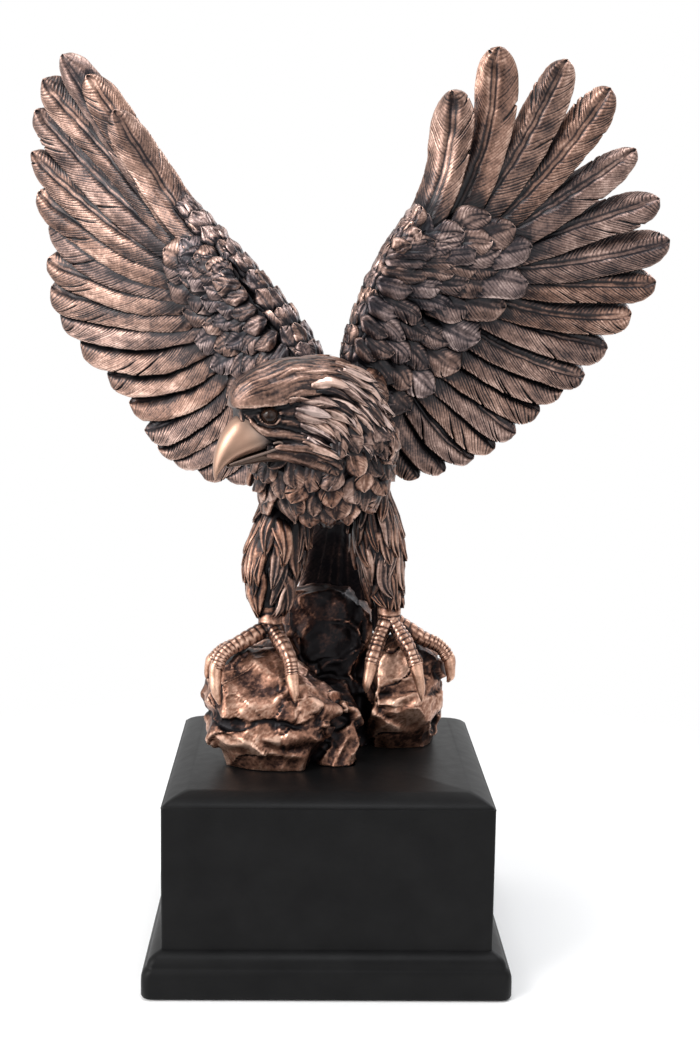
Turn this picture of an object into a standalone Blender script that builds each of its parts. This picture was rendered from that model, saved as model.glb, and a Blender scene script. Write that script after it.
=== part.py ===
"""An eagle landing on rocks, wings raised, cast in one with its rocks and set on a moulded square plinth.

The plinth stands on Z = 0 with its underside centred on the origin. The bird faces -Y. Its own left
wing is on the +X side. The casting is modelled in figure units, which are 1 mm at FIGURE_HEIGHT = 0.240 m,
with their origin on the middle of the plinth's top.
"""

import math
import random

import bmesh
import bpy
from mathutils import Matrix, Vector
from mathutils.bvhtree import BVHTree

# Plinth sizes, in metres
PLINTH_WIDTH = 0.105
PLINTH_DEPTH = 0.105
PLINTH_HEIGHT = 0.0642
TOP_CHAMFER_INSET = 0.0068
TOP_CHAMFER_DROP = 0.0037
FOOT_OVERHANG = 0.006
FOOT_HEIGHT = 0.0141
FOOT_LIP_HEIGHT = 0.0085
FOOT_EDGE_ROUND = 0.0012
BODY_CORNER_ROUND = 0.0010
FOOT_CORNER_ROUND = 0.0030

# Casting sizes, in metres
FIGURE_HEIGHT = 0.240
SEAT_GAP = 0.0003
VOXEL = 0.00105
CASTING_TRIANGLES = 9450

# Figure units in the figure's height, so that one of them is 1 mm at the real size
UNITS_HIGH = 240.0
UNIT = FIGURE_HEIGHT / UNITS_HIGH

# The wings, in figure units. Each station is a feather's number, then the point of the leading edge
# that its coverts spread from, where the feather leaves the coverts, its tip and its width. girth is the
# arm's half thickness at the shoulder and at its end, and sweep is how far the first feather curves.
LEFT_WING = {
    "feathers": 19,
    "ventral": (0.21, -0.97, 0.10),
    "stations": [
        (0, (19, 9, 169), (31, 12, 177), (38, 12, 223), 15.0),
        (1, (19, 9, 169), (44, 15, 177), (56, 17, 238), 14.5),
        (2, (19, 9, 169), (49, 17, 176), (78, 22, 235), 14.0),
        (3, (18, 9, 168), (53, 18, 173), (94, 25, 226), 14.0),
        (4, (18, 9, 168), (55, 18, 171), (103.5, 27, 206), 14.0),
        (6, (17, 9, 166), (56, 19, 165), (117, 30, 176), 14.0),
        (9, (15, 9, 161), (50, 18, 154), (96, 26, 137), 14.5),
        (12, (11, 8, 153), (37, 16, 137), (72, 22, 115), 14.5),
        (15, (8, 7, 143), (27, 13, 126), (48, 16, 98), 13.5),
        (18, (5, 8, 131), (15, 11, 114), (19, 12, 90), 12.5),
    ],
    "leading_edge": [(7, 10, 122), (9.5, 9, 141), (15.5, 9, 158), (21.5, 10, 171), (29, 12, 182)],
    "girth": (4.8, 2.6),
    "sweep": 0.105,
}
RIGHT_WING = {
    "feathers": 20,
    "ventral": (-0.50, -0.86, 0.10),
    "stations": [
        (0, (-33, 26, 161), (-38.5, 29.5, 164), (-76.5, 48, 218.5), 9.5),
        (1, (-33, 26, 161), (-46, 33, 167), (-88, 56, 231), 11.5),
        (2, (-33, 26, 161), (-49, 36, 168), (-97, 61, 239), 12.0),
        (4, (-32, 25, 160), (-52, 38, 166), (-109, 68, 219), 13.0),
        (7, (-29, 23, 156), (-51, 38, 158), (-104, 67, 179), 14.0),
        (10, (-25, 21, 151), (-44, 35, 145), (-99, 64, 147), 14.5),
        (13, (-20, 18, 145), (-36, 30, 133), (-72, 50, 114), 14.5),
        (16, (-15, 16, 139), (-28, 25, 119), (-55, 40, 94), 14.0),
        (19, (-10, 13, 132), (-19, 20, 107), (-25, 23, 88), 13.0),
    ],
    "leading_edge": [(-5, 12, 122), (-11, 16, 136), (-21, 22, 150), (-32, 29, 163), (-43, 35, 175), (-53, 41, 186)],
    "girth": (6.0, 2.8),
    "sweep": 0.02,
}

# Rows of covert feathers: start and end as shares of the way from the leading edge to a flight
# feather's root (over 1 is past the root), then count, width, and lift off the wing at root and tip.
VENTRAL_COVERTS = [
    (0.62, 1.24, 15, 11.0, 0.6, 2.6),
    (0.38, 0.99, 13, 10.0, 1.9, 4.0),
    (0.16, 0.74, 11, 9.5, 3.0, 5.0),
    (0.02, 0.46, 9, 9.0, 3.6, 5.6),
]
DORSAL_COVERTS = [
    (0.50, 1.40, 13, 12.0, -1.0, -3.2),
    (0.22, 1.00, 11, 11.0, -2.6, -4.8),
    (0.02, 0.58, 9, 10.0, -3.6, -5.6),
]
FLIGHT_THICKNESS = 3.3
COVERT_THICKNESS = 2.7
SHINGLE_TURN = math.radians(13)

# The head: its middle, and the way that it faces in figure units
SKULL = Vector((-10.5, -30.0, 118.7))
HEAD_TURN = math.radians(66)
HEAD_FORWARD = Vector((-math.sin(HEAD_TURN), -math.cos(HEAD_TURN), 0))
HEAD_LEFT = Vector((math.cos(HEAD_TURN), -math.sin(HEAD_TURN), 0))
UP = Vector((0, 0, 1))

RANDOM_SEED = 7


def clear_scene():
    for old in list(bpy.data.objects):
        bpy.data.objects.remove(old, do_unlink=True)


def material(name, colour, roughness, metallic):
    made = bpy.data.materials.new(name)
    made.use_nodes = True
    shader = made.node_tree.nodes["Principled BSDF"]
    shader.inputs["Base Color"].default_value = (*colour, 1.0)
    shader.inputs["Roughness"].default_value = roughness
    shader.inputs["Metallic"].default_value = metallic
    return made


def new_object(name, mesh, finish):
    made = bpy.data.objects.new(name, mesh)
    made.data.materials.append(finish)
    bpy.context.scene.collection.objects.link(made)
    return made


class Shells:
    """Closed shells, gathered into one list of points and faces."""

    def __init__(self):
        self.points = []
        self.faces = []

    def loft(self, rings):
        """Skins a stack of equal rings and closes both ends."""
        first = len(self.points)
        count = len(rings[0])
        for ring in rings:
            self.points.extend(Vector(p) for p in ring)
        for level in range(len(rings) - 1):
            low = first + level * count
            for i in range(count):
                j = (i + 1) % count
                self.faces.append((low + i, low + j, low + count + j, low + count + i))
        self.faces.append(tuple(first + i for i in range(count)))
        last = first + (len(rings) - 1) * count
        self.faces.append(tuple(last + i for i in range(count)))

    def hull(self, cloud):
        """Adds the convex hull of a cloud of points."""
        bm = bmesh.new()
        for p in cloud:
            bm.verts.new(p)
        bmesh.ops.convex_hull(bm, input=bm.verts)
        bmesh.ops.delete(bm, geom=[v for v in bm.verts if not v.link_faces], context="VERTS")
        first = len(self.points)
        bm.verts.index_update()
        self.points.extend(v.co.copy() for v in bm.verts)
        self.faces.extend(tuple(first + v.index for v in f.verts) for f in bm.faces)
        bm.free()

    def mesh(self, name, scale=1.0, offset=(0, 0, 0)):
        """One mesh of all the shells, each facing out."""
        bm = bmesh.new()
        shift = Vector(offset)
        corners = [bm.verts.new(p * scale + shift) for p in self.points]
        for face in self.faces:
            bm.faces.new([corners[i] for i in face])
        bmesh.ops.recalc_face_normals(bm, faces=bm.faces)
        made = bpy.data.meshes.new(name)
        bm.to_mesh(made)
        bm.free()
        return made


def oval(centre, across, upward, half_across, half_up, count):
    """A ring of points on an ellipse."""
    ring = []
    for i in range(count):
        angle = 2 * math.pi * (i + 0.5) / count
        ring.append(centre + across * (half_across * math.cos(angle)) + upward * (half_up * math.sin(angle)))
    return ring


def tube(shells, path, sizes, across_hint, count=10):
    """A closed tube along a path, with a half width and a half height at each point."""
    path = [Vector(p) for p in path]
    rings = []
    for i, centre in enumerate(path):
        along = (path[min(i + 1, len(path) - 1)] - path[max(i - 1, 0)]).normalized()
        upward = along.cross(Vector(across_hint)).normalized()
        across = upward.cross(along).normalized()
        rings.append(oval(centre, across, upward, *sizes[i], count))
    shells.loft(rings)


def through(knots, values, at):
    """A smooth curve through values at the given knots, read at one place."""
    last = len(knots) - 1
    k = max(i for i in range(last) if knots[i] <= at or i == 0)
    span = knots[k + 1] - knots[k]
    t = (at - knots[k]) / span

    def slope(i):
        low, high = max(i - 1, 0), min(i + 1, last)
        return (values[high] - values[low]) / (knots[high] - knots[low])

    a, b = values[k], values[k + 1]
    m, n = slope(k) * span, slope(k + 1) * span
    t2, t3 = t * t, t * t * t
    return a * (2 * t3 - 3 * t2 + 1) + m * (t3 - 2 * t2 + t) + b * (3 * t2 - 2 * t3) + n * (t3 - t2)


def vane(share, point=0.0):
    """A feather's width along its length, as a share of its widest. Its end is round, or drawn to a point."""
    body = 0.66 + 0.34 * math.sin(math.pi / 2 * min(share / 0.5, 1.0))
    end = max(share - 0.80, 0.0) / 0.20
    round_end = math.sqrt(max(1.0 - 0.82 * end * end, 0.0))
    taper = 1.0 - point * max(share - 0.35, 0.0) / 0.65
    return body * round_end * taper


FLIGHT_STEPS = (0, 0.28, 0.55, 0.8, 0.92, 1)
COVERT_STEPS = (0, 0.45, 0.8, 0.93, 1)


def blade(shells, root, tip, facing, width, thickness, bow=0.05, turn=0.0, bend=0.0, point=0.0, steps=COVERT_STEPS):
    """One feather: a closed blade that is thick along its quill, with blunt edges.

    It bows away from the side that it faces, bends sideways, and turns about its quill so that
    it overlaps the next feather as shingles do.
    """
    length = (tip - root).length
    along = (tip - root) / length
    side = along.cross(facing).normalized()
    normal = side.cross(along).normalized()
    turning = Matrix.Rotation(turn, 3, along)
    side, normal = turning @ side, turning @ normal
    rings = []
    for share in steps:
        arch = math.sin(math.pi * share)
        centre = root + along * (length * share) + (side * bend - normal * bow) * (length * arch)
        half = 0.5 * width * vane(share, point)
        quill = 0.5 * thickness * (1.0 - 0.35 * share)
        edge = 0.52 * quill
        rings.append([
            centre - side * half + normal * edge * 0.6,
            centre + normal * quill,
            centre + side * half + normal * edge * 0.6,
            centre + side * half - normal * edge,
            centre - normal * quill * 0.7,
            centre - side * half - normal * edge,
        ])
    shells.loft(rings)


def wing_lines(wing, feather):
    """Where one feather's line starts on the leading edge, leaves the coverts and ends, and its width."""
    knots = [station[0] for station in wing["stations"]]
    lead, root, tip = (through(knots, [Vector(station[k]) for station in wing["stations"]], feather) for k in (1, 2, 3))
    return lead, root, tip, through(knots, [station[4] for station in wing["stations"]], feather)


def covert_point(wing, feather, chord):
    """A point among the coverts: chord 0 is on the leading edge and 1 at a flight feather's root."""
    lead, root, tip, _ = wing_lines(wing, feather)
    if chord > 1:
        return root + (tip - root).normalized() * ((chord - 1) * (root - lead).length)
    return lead.lerp(root, chord)


def flight_feathers(shells, wing, hand):
    facing = Vector(wing["ventral"]).normalized()
    for k in range(wing["feathers"]):
        lead, root, tip, width = wing_lines(wing, k)
        bend = hand * (0.015 + wing["sweep"] * max(1 - k / 4, 0))
        blade(shells, root.lerp(lead, 0.25), tip, facing, width, FLIGHT_THICKNESS, 0.045, -hand * SHINGLE_TURN, bend,
              steps=FLIGHT_STEPS)


def covert_rows(shells, wing, hand, rows):
    facing = Vector(wing["ventral"]).normalized()
    last = wing["feathers"] - 1
    for number, (start, end, count, width, low, high) in enumerate(rows):
        side = facing if high > 0 else -facing
        stagger = 0.5 * (number % 2)
        for k in range(count):
            place = min(last * (k + stagger) / (count - 1), last)
            root = covert_point(wing, place, start) + side * abs(low)
            tip = covert_point(wing, place, end) + side * abs(high)
            turn = -hand * SHINGLE_TURN if high > 0 else hand * SHINGLE_TURN
            blade(shells, root, tip, side, width, COVERT_THICKNESS, -0.04, turn)


def edge_scales(shells, wing, hand):
    """Small feathers that wrap the leading edge and point towards the wing's tip."""
    edge = [Vector(p) for p in wing["leading_edge"]]
    knots = list(range(len(edge)))
    facing = Vector(wing["ventral"]).normalized()
    steps = 8
    for k in range(steps):
        at = (len(edge) - 1.25) * (k + 0.6) / steps
        here, ahead = through(knots, edge, at), through(knots, edge, at + 0.25)
        along = (ahead - here).normalized()
        girth = wing["girth"][0] + (wing["girth"][1] - wing["girth"][0]) * at / (len(edge) - 1)
        outer = along.cross(facing).normalized() * -hand
        for angle in (-70, -10, 50, 110):
            swing = math.radians(angle + 14 * (k % 2))
            out = outer * math.cos(swing) + facing * math.sin(swing)
            root = here + out * (girth * 0.72) - along * 3
            tip = here + out * (girth + 0.3) + along * 6.5
            blade(shells, root, tip, out, 7.5, 2.4, -0.04, 0)


def wing_core(shells, wing):
    """The arm along the leading edge, and the web that carries the feathers' roots."""
    edge = wing["leading_edge"]
    count = len(edge)
    thick, thin = wing["girth"]
    sizes = [(thick + (thin - thick) * i / (count - 1), thick + (thin - thick) * i / (count - 1)) for i in range(count)]
    tube(shells, edge, sizes, wing["ventral"], 8)
    facing = Vector(wing["ventral"]).normalized()
    last = wing["feathers"] - 1
    rings = []
    for k in range(0, last + 1, 2):
        front = [covert_point(wing, k, chord) + facing * lift for chord, lift in ((0.0, 3.0), (0.6, 2.2), (1.08, 0.4))]
        back = [covert_point(wing, k, chord) - facing * drop for chord, drop in ((1.08, 1.2), (0.6, 2.6), (0.0, 3.6))]
        rings.append(front + back)
    shells.loft(rings)


def head_point(forward, up, left=0.0):
    return SKULL + HEAD_FORWARD * forward + UP * up + HEAD_LEFT * left


def head_form(shells):
    """Skull, hooked beak, brows and eyes. Each section is its place forward, its middle, half width and half height."""
    sections = [(-27, -8, 12, 12), (-18, -3, 14, 15.5), (-8, 1.0, 14, 16), (0, 2.0, 12.4, 14.8), (7, 1.6, 9.6, 12.8),
                (13, 1.6, 7.2, 10.4), (18, 2.4, 5.8, 8.2), (21.5, 4.2, 4.6, 5.6)]
    shells.loft([oval(head_point(f, u), HEAD_LEFT, UP, w, h, 14) for f, u, w, h in sections])
    beak = [(8, -6.8, 6.2, 6.6), (14, -6.6, 6.2, 7.6), (19, -6.9, 5.6, 7.6), (23, -8.6, 4.8, 7.2),
            (26.2, -12.2, 3.6, 6.0), (28.4, -16.6, 2.4, 4.6), (29.2, -20.6, 1.4, 2.4)]
    shells.loft([oval(head_point(f, u), HEAD_LEFT, UP, w, h, 10) for f, u, w, h in beak])
    lower = [(2, -14.4, 5.6, 2.6), (10, -14.8, 4.6, 2.3), (17, -14.9, 3.2, 1.6), (21.5, -14.8, 1.8, 0.9)]
    shells.loft([oval(head_point(f, u), HEAD_LEFT, UP, w, h, 8) for f, u, w, h in lower])
    for side in (1, -1):
        brow = [(23.5, 5.0, 3.6), (19, 4.2, 7.0), (13, 4.0, 9.4), (5, 5.2, 11.4), (-4, 6.6, 13.0)]
        tube(shells, [head_point(f, u, side * w) for f, u, w in brow],
             [(1.6, 1.5), (2.2, 1.9), (2.4, 2.1), (2.2, 2.0), (1.2, 1.2)], UP, 7)
        cheek = [(8, -12.4, 7.4), (1, -13.0, 10.2), (-7, -14.6, 12.0), (-15, -19, 12.8)]
        tube(shells, [head_point(f, u, side * w) for f, u, w in cheek],
             [(1.4, 1.4), (2.0, 2.0), (2.2, 2.2), (1.4, 1.4)], UP, 7)
        eye = head_point(11.4, -0.9, side * 7.4)
        shells.loft([oval(eye + HEAD_LEFT * (side * d), HEAD_FORWARD, UP, r, r, 8) for d, r in ((-2, 1.9), (1.0, 2.6), (2.4, 1.4))])


def body_form(shells):
    torso = [(-3, -26, 88), (-3, -20, 92), (-2.5, -8, 98), (-1, 8, 102), (2, 21, 98), (5, 31, 88), (6, 38, 78)]
    tube(shells, torso, [(9, 8), (16, 15), (18.5, 20), (18.5, 21), (16.5, 18), (12, 11), (7, 4.5)], (1, 0, 0), 14)
    neck = [(-2.5, -11, 84), (-3, -15, 91), (-3, -16.5, 103), (-3, -19, 114), (-4, -22, 124), (-5, -24, 132)]
    tube(shells, neck, [(17, 13), (20.3, 17.5), (21.2, 19), (19, 18), (14.5, 14), (6, 6)], (1, 0, 0), 14)
    shoulders = [(-15, 12, 126), (-9, 7, 123), (0, 3, 121), (9, 4, 123), (14, 7, 128)]
    tube(shells, shoulders, [(5, 5), (10, 9.5), (13, 11.5), (10, 9.5), (5, 5)], (0, 1, 0), 10)


def thigh_form(shells):
    right = [(-12, 4, 94), (-14, -1, 85), (-16.5, -5, 75), (-19.0, -8, 65), (-20.2, -10, 57), (-19.8, -12, 49)]
    tube(shells, right, [(7, 11), (7.6, 13), (8.2, 13.5), (9.2, 12), (8.0, 8.5), (4.4, 4.6)], (1, 0, 0), 10)
    left = [(10.5, 8, 94), (13.2, 5, 85), (15.6, 3, 75), (16.9, 2, 66), (17.9, 1, 57), (20.0, 0, 49)]
    tube(shells, left, [(6.5, 11), (6.8, 12.5), (7.4, 12.5), (7.2, 10.5), (5.4, 7.0), (3.8, 4.0)], (1, 0, 0), 10)


def digit(shells, knuckles, claw_tip, girth=2.6):
    """A toe along its knuckles, with the claw that grips the rock at its end."""
    hint = Vector(knuckles[-1]) - Vector(knuckles[0])
    hint = hint.cross(UP).normalized()
    sizes = [(girth * (1.08 - 0.07 * i), girth * (1.08 - 0.07 * i)) for i in range(len(knuckles))]
    tube(shells, knuckles, sizes, hint, 7)
    end, tip = Vector(knuckles[-1]), Vector(claw_tip)
    outward = (end - Vector(knuckles[-2])).normalized()
    claw = [end - outward * 1.5, end + outward * 0.8, end.lerp(tip, 0.5) + outward * 1.5, tip]
    tube(shells, claw, [(2.0, 2.0), (2.0, 2.0), (1.5, 1.5), (0.5, 0.5)], hint, 6)


RIGHT_TOES = [
    ([(-20.5, -13.5, 45.5), (-28, -19, 42.5), (-34.5, -23.5, 39), (-36.8, -25.5, 34.5)], (-35.6, -28, 23)),
    ([(-19.5, -14, 45.5), (-15.5, -20, 41.5), (-12.8, -24.5, 36.5), (-12.2, -26, 32.5)], (-11.2, -28.5, 24)),
    ([(-21, -12, 45), (-28.5, -12, 40.5), (-35, -11, 37.5), (-38.8, -10.5, 34)], (-39, -11, 26)),
    ([(-19.5, -10, 45.5), (-18, -2, 43), (-17, 5, 38)], (-17, 7, 30)),
]
LEFT_TOES = [
    ([(19.5, -1, 46), (16.3, -6, 39), (14.2, -9, 32.5)], (12.6, -10.5, 23)),
    ([(21.5, -1, 45.5), (26.3, -6, 38.5), (29.2, -9, 32)], (31.4, -10, 20)),
    ([(22, 0, 46), (31, 1, 40), (38, 1, 36.5), (41, 0, 32.5)], (40.6, -1, 24.5)),
    ([(20.5, 3, 46), (20, 11, 43.5), (19.5, 17, 39)], (19.5, 19.5, 32)),
]

# Rocks as stacked levels: height, then the left, right, front and back of each level. The first two
# make the great boulder, whose split shows from the front.
ROCKS = [
    [(-4, -31, -5, -25, 2), (3, -37, -3, -28, 5), (9, -42, 3, -30, 6), (13, -43, 5, -29.5, 6), (16.5, -38, 3, -23, 5)],
    [(15, -38, 4, -23, 5), (18.5, -44, 6.5, -29, 6), (23, -43.5, 4.5, -27, 6), (28, -42, -4, -25, 5), (34, -36, -11, -20, 3),
     (38, -30, -15, -14, -2)],
    [(-4, -6, 11, -20, 0), (6, -8, 12, -20, 2), (16, -8, 10, -15, 4), (24, -6, 7, -8, 6)],
    [(-4, 12, 37, 4, 30), (3, 10, 40.5, 3, 31), (12, 9, 41.5, -5, 30), (17, 10, 41.5, -7, 29), (24, 12, 41.5, -4, 27),
     (32, 15, 39, -1, 22), (38, 20, 33, 3, 16)],
    [(-4, -34, -6, -4, 24), (14, -36, -4, -4, 24), (30, -34, -8, -4, 20), (38, -26, -12, -2, 12)],
    [(-4, -18, 20, 0, 34), (18, -17, 18, 0, 34), (34, -17, 17, 2, 31), (46, -17, 16, 4, 27), (54, -10, 6, 9, 22)],
    [(-4, -16, 34, 18, 44), (12, -14, 32, 18, 43), (26, -8, 24, 20, 38), (32, -2, 16, 22, 32)],
]
ROCK_SIDES = 7


def rock_form(shells):
    """Hewn rocks, each the hull of its levels. They run below the plinth's top, where the casting is cut flat."""
    chance = random.Random(RANDOM_SEED)
    for levels in ROCKS:
        cloud = []
        for number, (height, left, right, front, back) in enumerate(levels):
            twist = math.pi / ROCK_SIDES * number + chance.uniform(-0.15, 0.15)
            for k in range(ROCK_SIDES):
                angle = 2 * math.pi * k / ROCK_SIDES + twist
                reach = chance.uniform(0.90, 1.10)
                x, y = math.cos(angle) * reach, math.sin(angle) * reach
                flat = max(abs(x), abs(y), 0.84)
                cloud.append(Vector((
                    (left + right) / 2 + (right - left) / 2 * x / flat * 0.93,
                    (front + back) / 2 + (back - front) / 2 * y / flat * 0.93,
                    height + chance.uniform(-1.2, 1.2),
                )))
        shells.hull(cloud)


def tail_form(shells):
    """A fan of tail feathers, down and back from the rump."""
    count = 7
    for k in range(count):
        spread = (k - (count - 1) / 2) / ((count - 1) / 2)
        root = Vector((6 + 5 * spread, 33, 90 - 1.5 * abs(spread)))
        tip = Vector((8 + 16 * spread, 53 - 4 * spread * spread, 29 + 5 * spread * spread))
        facing = Vector((0.12 * spread, 0.93, 0.36))
        blade(shells, root, tip, facing, 11.5, 3.6, 0.03, math.radians(10) * spread, steps=FLIGHT_STEPS)


def plumage(shells, surface, top, bottom, rows, around, length, width, lift, droop=(0, 0, 0), point=0.0, keep=None):
    """Overlapping feathers laid on a surface in rows round an axis, from its top to its bottom.

    A feather points along the axis, plus droop. keep tells whether there is a feather at a place.
    """
    top, bottom = Vector(top), Vector(bottom)
    axis = (bottom - top).normalized()
    across = axis.cross(Vector((0, 1, 0)) if abs(axis.y) < 0.9 else Vector((0, 0, 1))).normalized()
    ahead = axis.cross(across).normalized()
    for row in range(rows):
        centre = top.lerp(bottom, row / max(rows - 1, 1))
        for k in range(around):
            share = (k + 0.5 * (row % 2) + 0.25) / around
            angle = 2 * math.pi * share
            outward = across * math.cos(angle) + ahead * math.sin(angle)
            place, normal, _, _ = surface.ray_cast(centre + outward * 60, -outward)
            if place is None or (keep and not keep(place)):
                continue
            flow = (axis + Vector(droop)).normalized()
            flow = (flow - normal * flow.dot(normal)).normalized()
            root = place - flow * (length * 0.35) - normal * 0.8
            tip = place + flow * (length * 0.65) + normal * lift
            blade(shells, root, tip, normal, width, 2.4, -0.03, math.radians(7), 0, point)


def on_breast(place):
    return place.y < 2 and place.z < 106


def on_back(place):
    return place.y > -4


def on_nape(place):
    return (place - SKULL).dot(HEAD_FORWARD) < -7 and place.z > 99


def body_plumage(shells, body, head, thighs):
    """The coat that shows from a step away: breast scales, hackles, back feathers and thigh locks."""
    plumage(shells, body, (-3, -16, 105), (-3, -13, 87), 4, 15, 11, 9.0, 2.2, keep=on_breast)
    plumage(shells, body, (-2, -2, 118), (5, 29, 90), 5, 13, 14, 10.0, 1.8, (0, 0.2, -0.2), keep=on_back)
    plumage(shells, head, head_point(-7, -1), head_point(-25, -7), 3, 13, 14, 6.0, 1.7, (0.1, 0.1, -0.5), 0.5, keep=on_nape)
    plumage(shells, thighs, (-14, -1, 84), (-20, -10, 60), 4, 9, 14, 7.0, 1.6, (0, 0, 0), 0.6)
    plumage(shells, thighs, (13, 5, 84), (17.6, 1, 60), 4, 8, 13, 6.5, 1.6, (0, 0, 0), 0.6)


def casting_shells():
    """Every form of the bird and its rocks as overlapping closed shells, in figure units."""
    shells = Shells()
    skins = []
    for form in (body_form, head_form, thigh_form):
        skin = Shells()
        for part in (shells, skin):
            form(part)
        skins.append(BVHTree.FromPolygons([tuple(p) for p in skin.points], skin.faces))
    body_plumage(shells, *skins)
    for wing, hand in ((LEFT_WING, 1), (RIGHT_WING, -1)):
        wing_core(shells, wing)
        edge_scales(shells, wing, hand)
        flight_feathers(shells, wing, hand)
        covert_rows(shells, wing, hand, VENTRAL_COVERTS)
        covert_rows(shells, wing, hand, DORSAL_COVERTS)
    tail_form(shells)
    for toes in (RIGHT_TOES, LEFT_TOES):
        for knuckles, claw_tip in toes:
            digit(shells, knuckles, claw_tip)
    tube(shells, [(-19.6, -11, 54), (-19.6, -12.5, 47), (-19.6, -13, 42)], [(4.4, 4.4), (3.8, 3.8), (4.2, 4.2)], (1, 0, 0), 8)
    tube(shells, [(20.2, 1, 55), (20.4, 0.5, 48), (20.6, 0, 43)], [(4.2, 4.2), (3.7, 3.7), (4.2, 4.2)], (1, 0, 0), 8)
    rock_form(shells)
    return shells


def evaluated_mesh(mesh, kind, **settings):
    """The mesh after one modifier."""
    holder = bpy.data.objects.new("holder", mesh)
    bpy.context.scene.collection.objects.link(holder)
    modifier = holder.modifiers.new(kind.title(), kind)
    for name, value in settings.items():
        setattr(modifier, name, value)
    bpy.context.view_layer.update()
    made = bpy.data.meshes.new_from_object(holder.evaluated_get(bpy.context.evaluated_depsgraph_get()))
    bpy.data.objects.remove(holder, do_unlink=True)
    return made


def keep_largest_island(bm):
    """Deletes the small closed pockets that fusing leaves between overlapping feathers."""
    unseen = set(bm.verts)
    islands = []
    while unseen:
        island = []
        front = [unseen.pop()]
        while front:
            v = front.pop()
            island.append(v)
            for edge in v.link_edges:
                other = edge.other_vert(v)
                if other in unseen:
                    unseen.remove(other)
                    front.append(other)
        islands.append(island)
    islands.sort(key=len)
    for island in islands[:-1]:
        bmesh.ops.delete(bm, geom=island, context="VERTS")


def cut_flat(bm, height):
    """Cuts the mesh level at a height and closes the cut."""
    everything = bm.verts[:] + bm.edges[:] + bm.faces[:]
    bmesh.ops.bisect_plane(bm, geom=everything, dist=1e-6, plane_co=(0, 0, height), plane_no=(0, 0, -1), clear_outer=True)
    rim = [e for e in bm.edges if e.is_boundary]
    bmesh.ops.holes_fill(bm, edges=rim)
    bmesh.ops.triangulate(bm, faces=bm.faces[:])


def fused_casting(floor):
    """The shells melted into one skin, thinned to a given number of triangles, and cut flat below."""
    loose = casting_shells().mesh("shells", UNIT, (0, 0, floor))
    skin = evaluated_mesh(loose, "REMESH", mode="VOXEL", voxel_size=VOXEL)
    bm = bmesh.new()
    bm.from_mesh(skin)
    keep_largest_island(bm)
    bmesh.ops.triangulate(bm, faces=bm.faces[:])
    share = CASTING_TRIANGLES / len(bm.faces)
    bm.to_mesh(skin)
    bm.free()
    thinned = evaluated_mesh(skin, "DECIMATE", ratio=share)
    bm = bmesh.new()
    bm.from_mesh(thinned)
    cut_flat(bm, floor)
    keep_largest_island(bm)
    made = bpy.data.meshes.new("eagle_on_rocks")
    bm.to_mesh(made)
    bm.free()
    made.shade_smooth()
    made.set_sharp_from_angle(angle=math.radians(40))
    return made


def rounded_square(half_x, half_y, radius, height, steps=3):
    """A rectangle of points with rounded corners, counterclockwise from above."""
    ring = []
    for quarter, (sx, sy) in enumerate(((1, 1), (-1, 1), (-1, -1), (1, -1))):
        for k in range(steps + 1):
            angle = math.pi / 2 * (quarter + k / steps)
            x = sx * (half_x - radius) + radius * math.cos(angle)
            y = sy * (half_y - radius) + radius * math.sin(angle)
            ring.append(Vector((x, y, height)))
    return ring


def plinth_profile():
    """Levels of the plinth from its underside up: height, distance out from the body's sides, corner radius."""
    levels = [
        (0.0, FOOT_OVERHANG - FOOT_EDGE_ROUND, FOOT_CORNER_ROUND),
        (FOOT_EDGE_ROUND * 0.3, FOOT_OVERHANG - FOOT_EDGE_ROUND * 0.3, FOOT_CORNER_ROUND),
        (FOOT_EDGE_ROUND, FOOT_OVERHANG, FOOT_CORNER_ROUND),
        (FOOT_LIP_HEIGHT - FOOT_EDGE_ROUND, FOOT_OVERHANG, FOOT_CORNER_ROUND),
        (FOOT_LIP_HEIGHT, FOOT_OVERHANG * 0.85, FOOT_CORNER_ROUND),
    ]
    cove_steps = 4
    for k in range(1, cove_steps + 1):
        angle = math.pi / 2 * k / cove_steps
        height = FOOT_LIP_HEIGHT + (FOOT_HEIGHT - FOOT_LIP_HEIGHT) * (1 - math.cos(angle))
        levels.append((height, FOOT_OVERHANG * 0.85 * (1 - math.sin(angle)), BODY_CORNER_ROUND))
    shoulder = PLINTH_HEIGHT - TOP_CHAMFER_DROP
    levels.append((shoulder, 0.0, BODY_CORNER_ROUND))
    for inward, rise in ((0.26, 0.42), (0.60, 0.78), (1.0, 1.0)):
        levels.append((shoulder + TOP_CHAMFER_DROP * rise, -TOP_CHAMFER_INSET * inward, BODY_CORNER_ROUND))
    return levels


def plinth_mesh():
    shells = Shells()
    shells.loft([
        rounded_square(PLINTH_WIDTH / 2 + out, PLINTH_DEPTH / 2 + out, radius, height)
        for height, out, radius in plinth_profile()
    ])
    made = shells.mesh("plinth")
    made.shade_smooth()
    made.set_sharp_from_angle(angle=math.radians(35))
    return made


def main():
    clear_scene()
    painted_wood = material("black satin paint", (0.012, 0.012, 0.013), 0.42, 0.0)
    copper = material("antique copper plating", (0.42, 0.24, 0.16), 0.36, 0.9)
    new_object("plinth", plinth_mesh(), painted_wood)
    new_object("eagle_on_rocks", fused_casting(PLINTH_HEIGHT + SEAT_GAP), copper)


main()
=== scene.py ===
import math
import random

import bmesh
import bpy
import numpy as np
from mathutils import Matrix, Vector, noise
from mathutils.bvhtree import BVHTree


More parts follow.
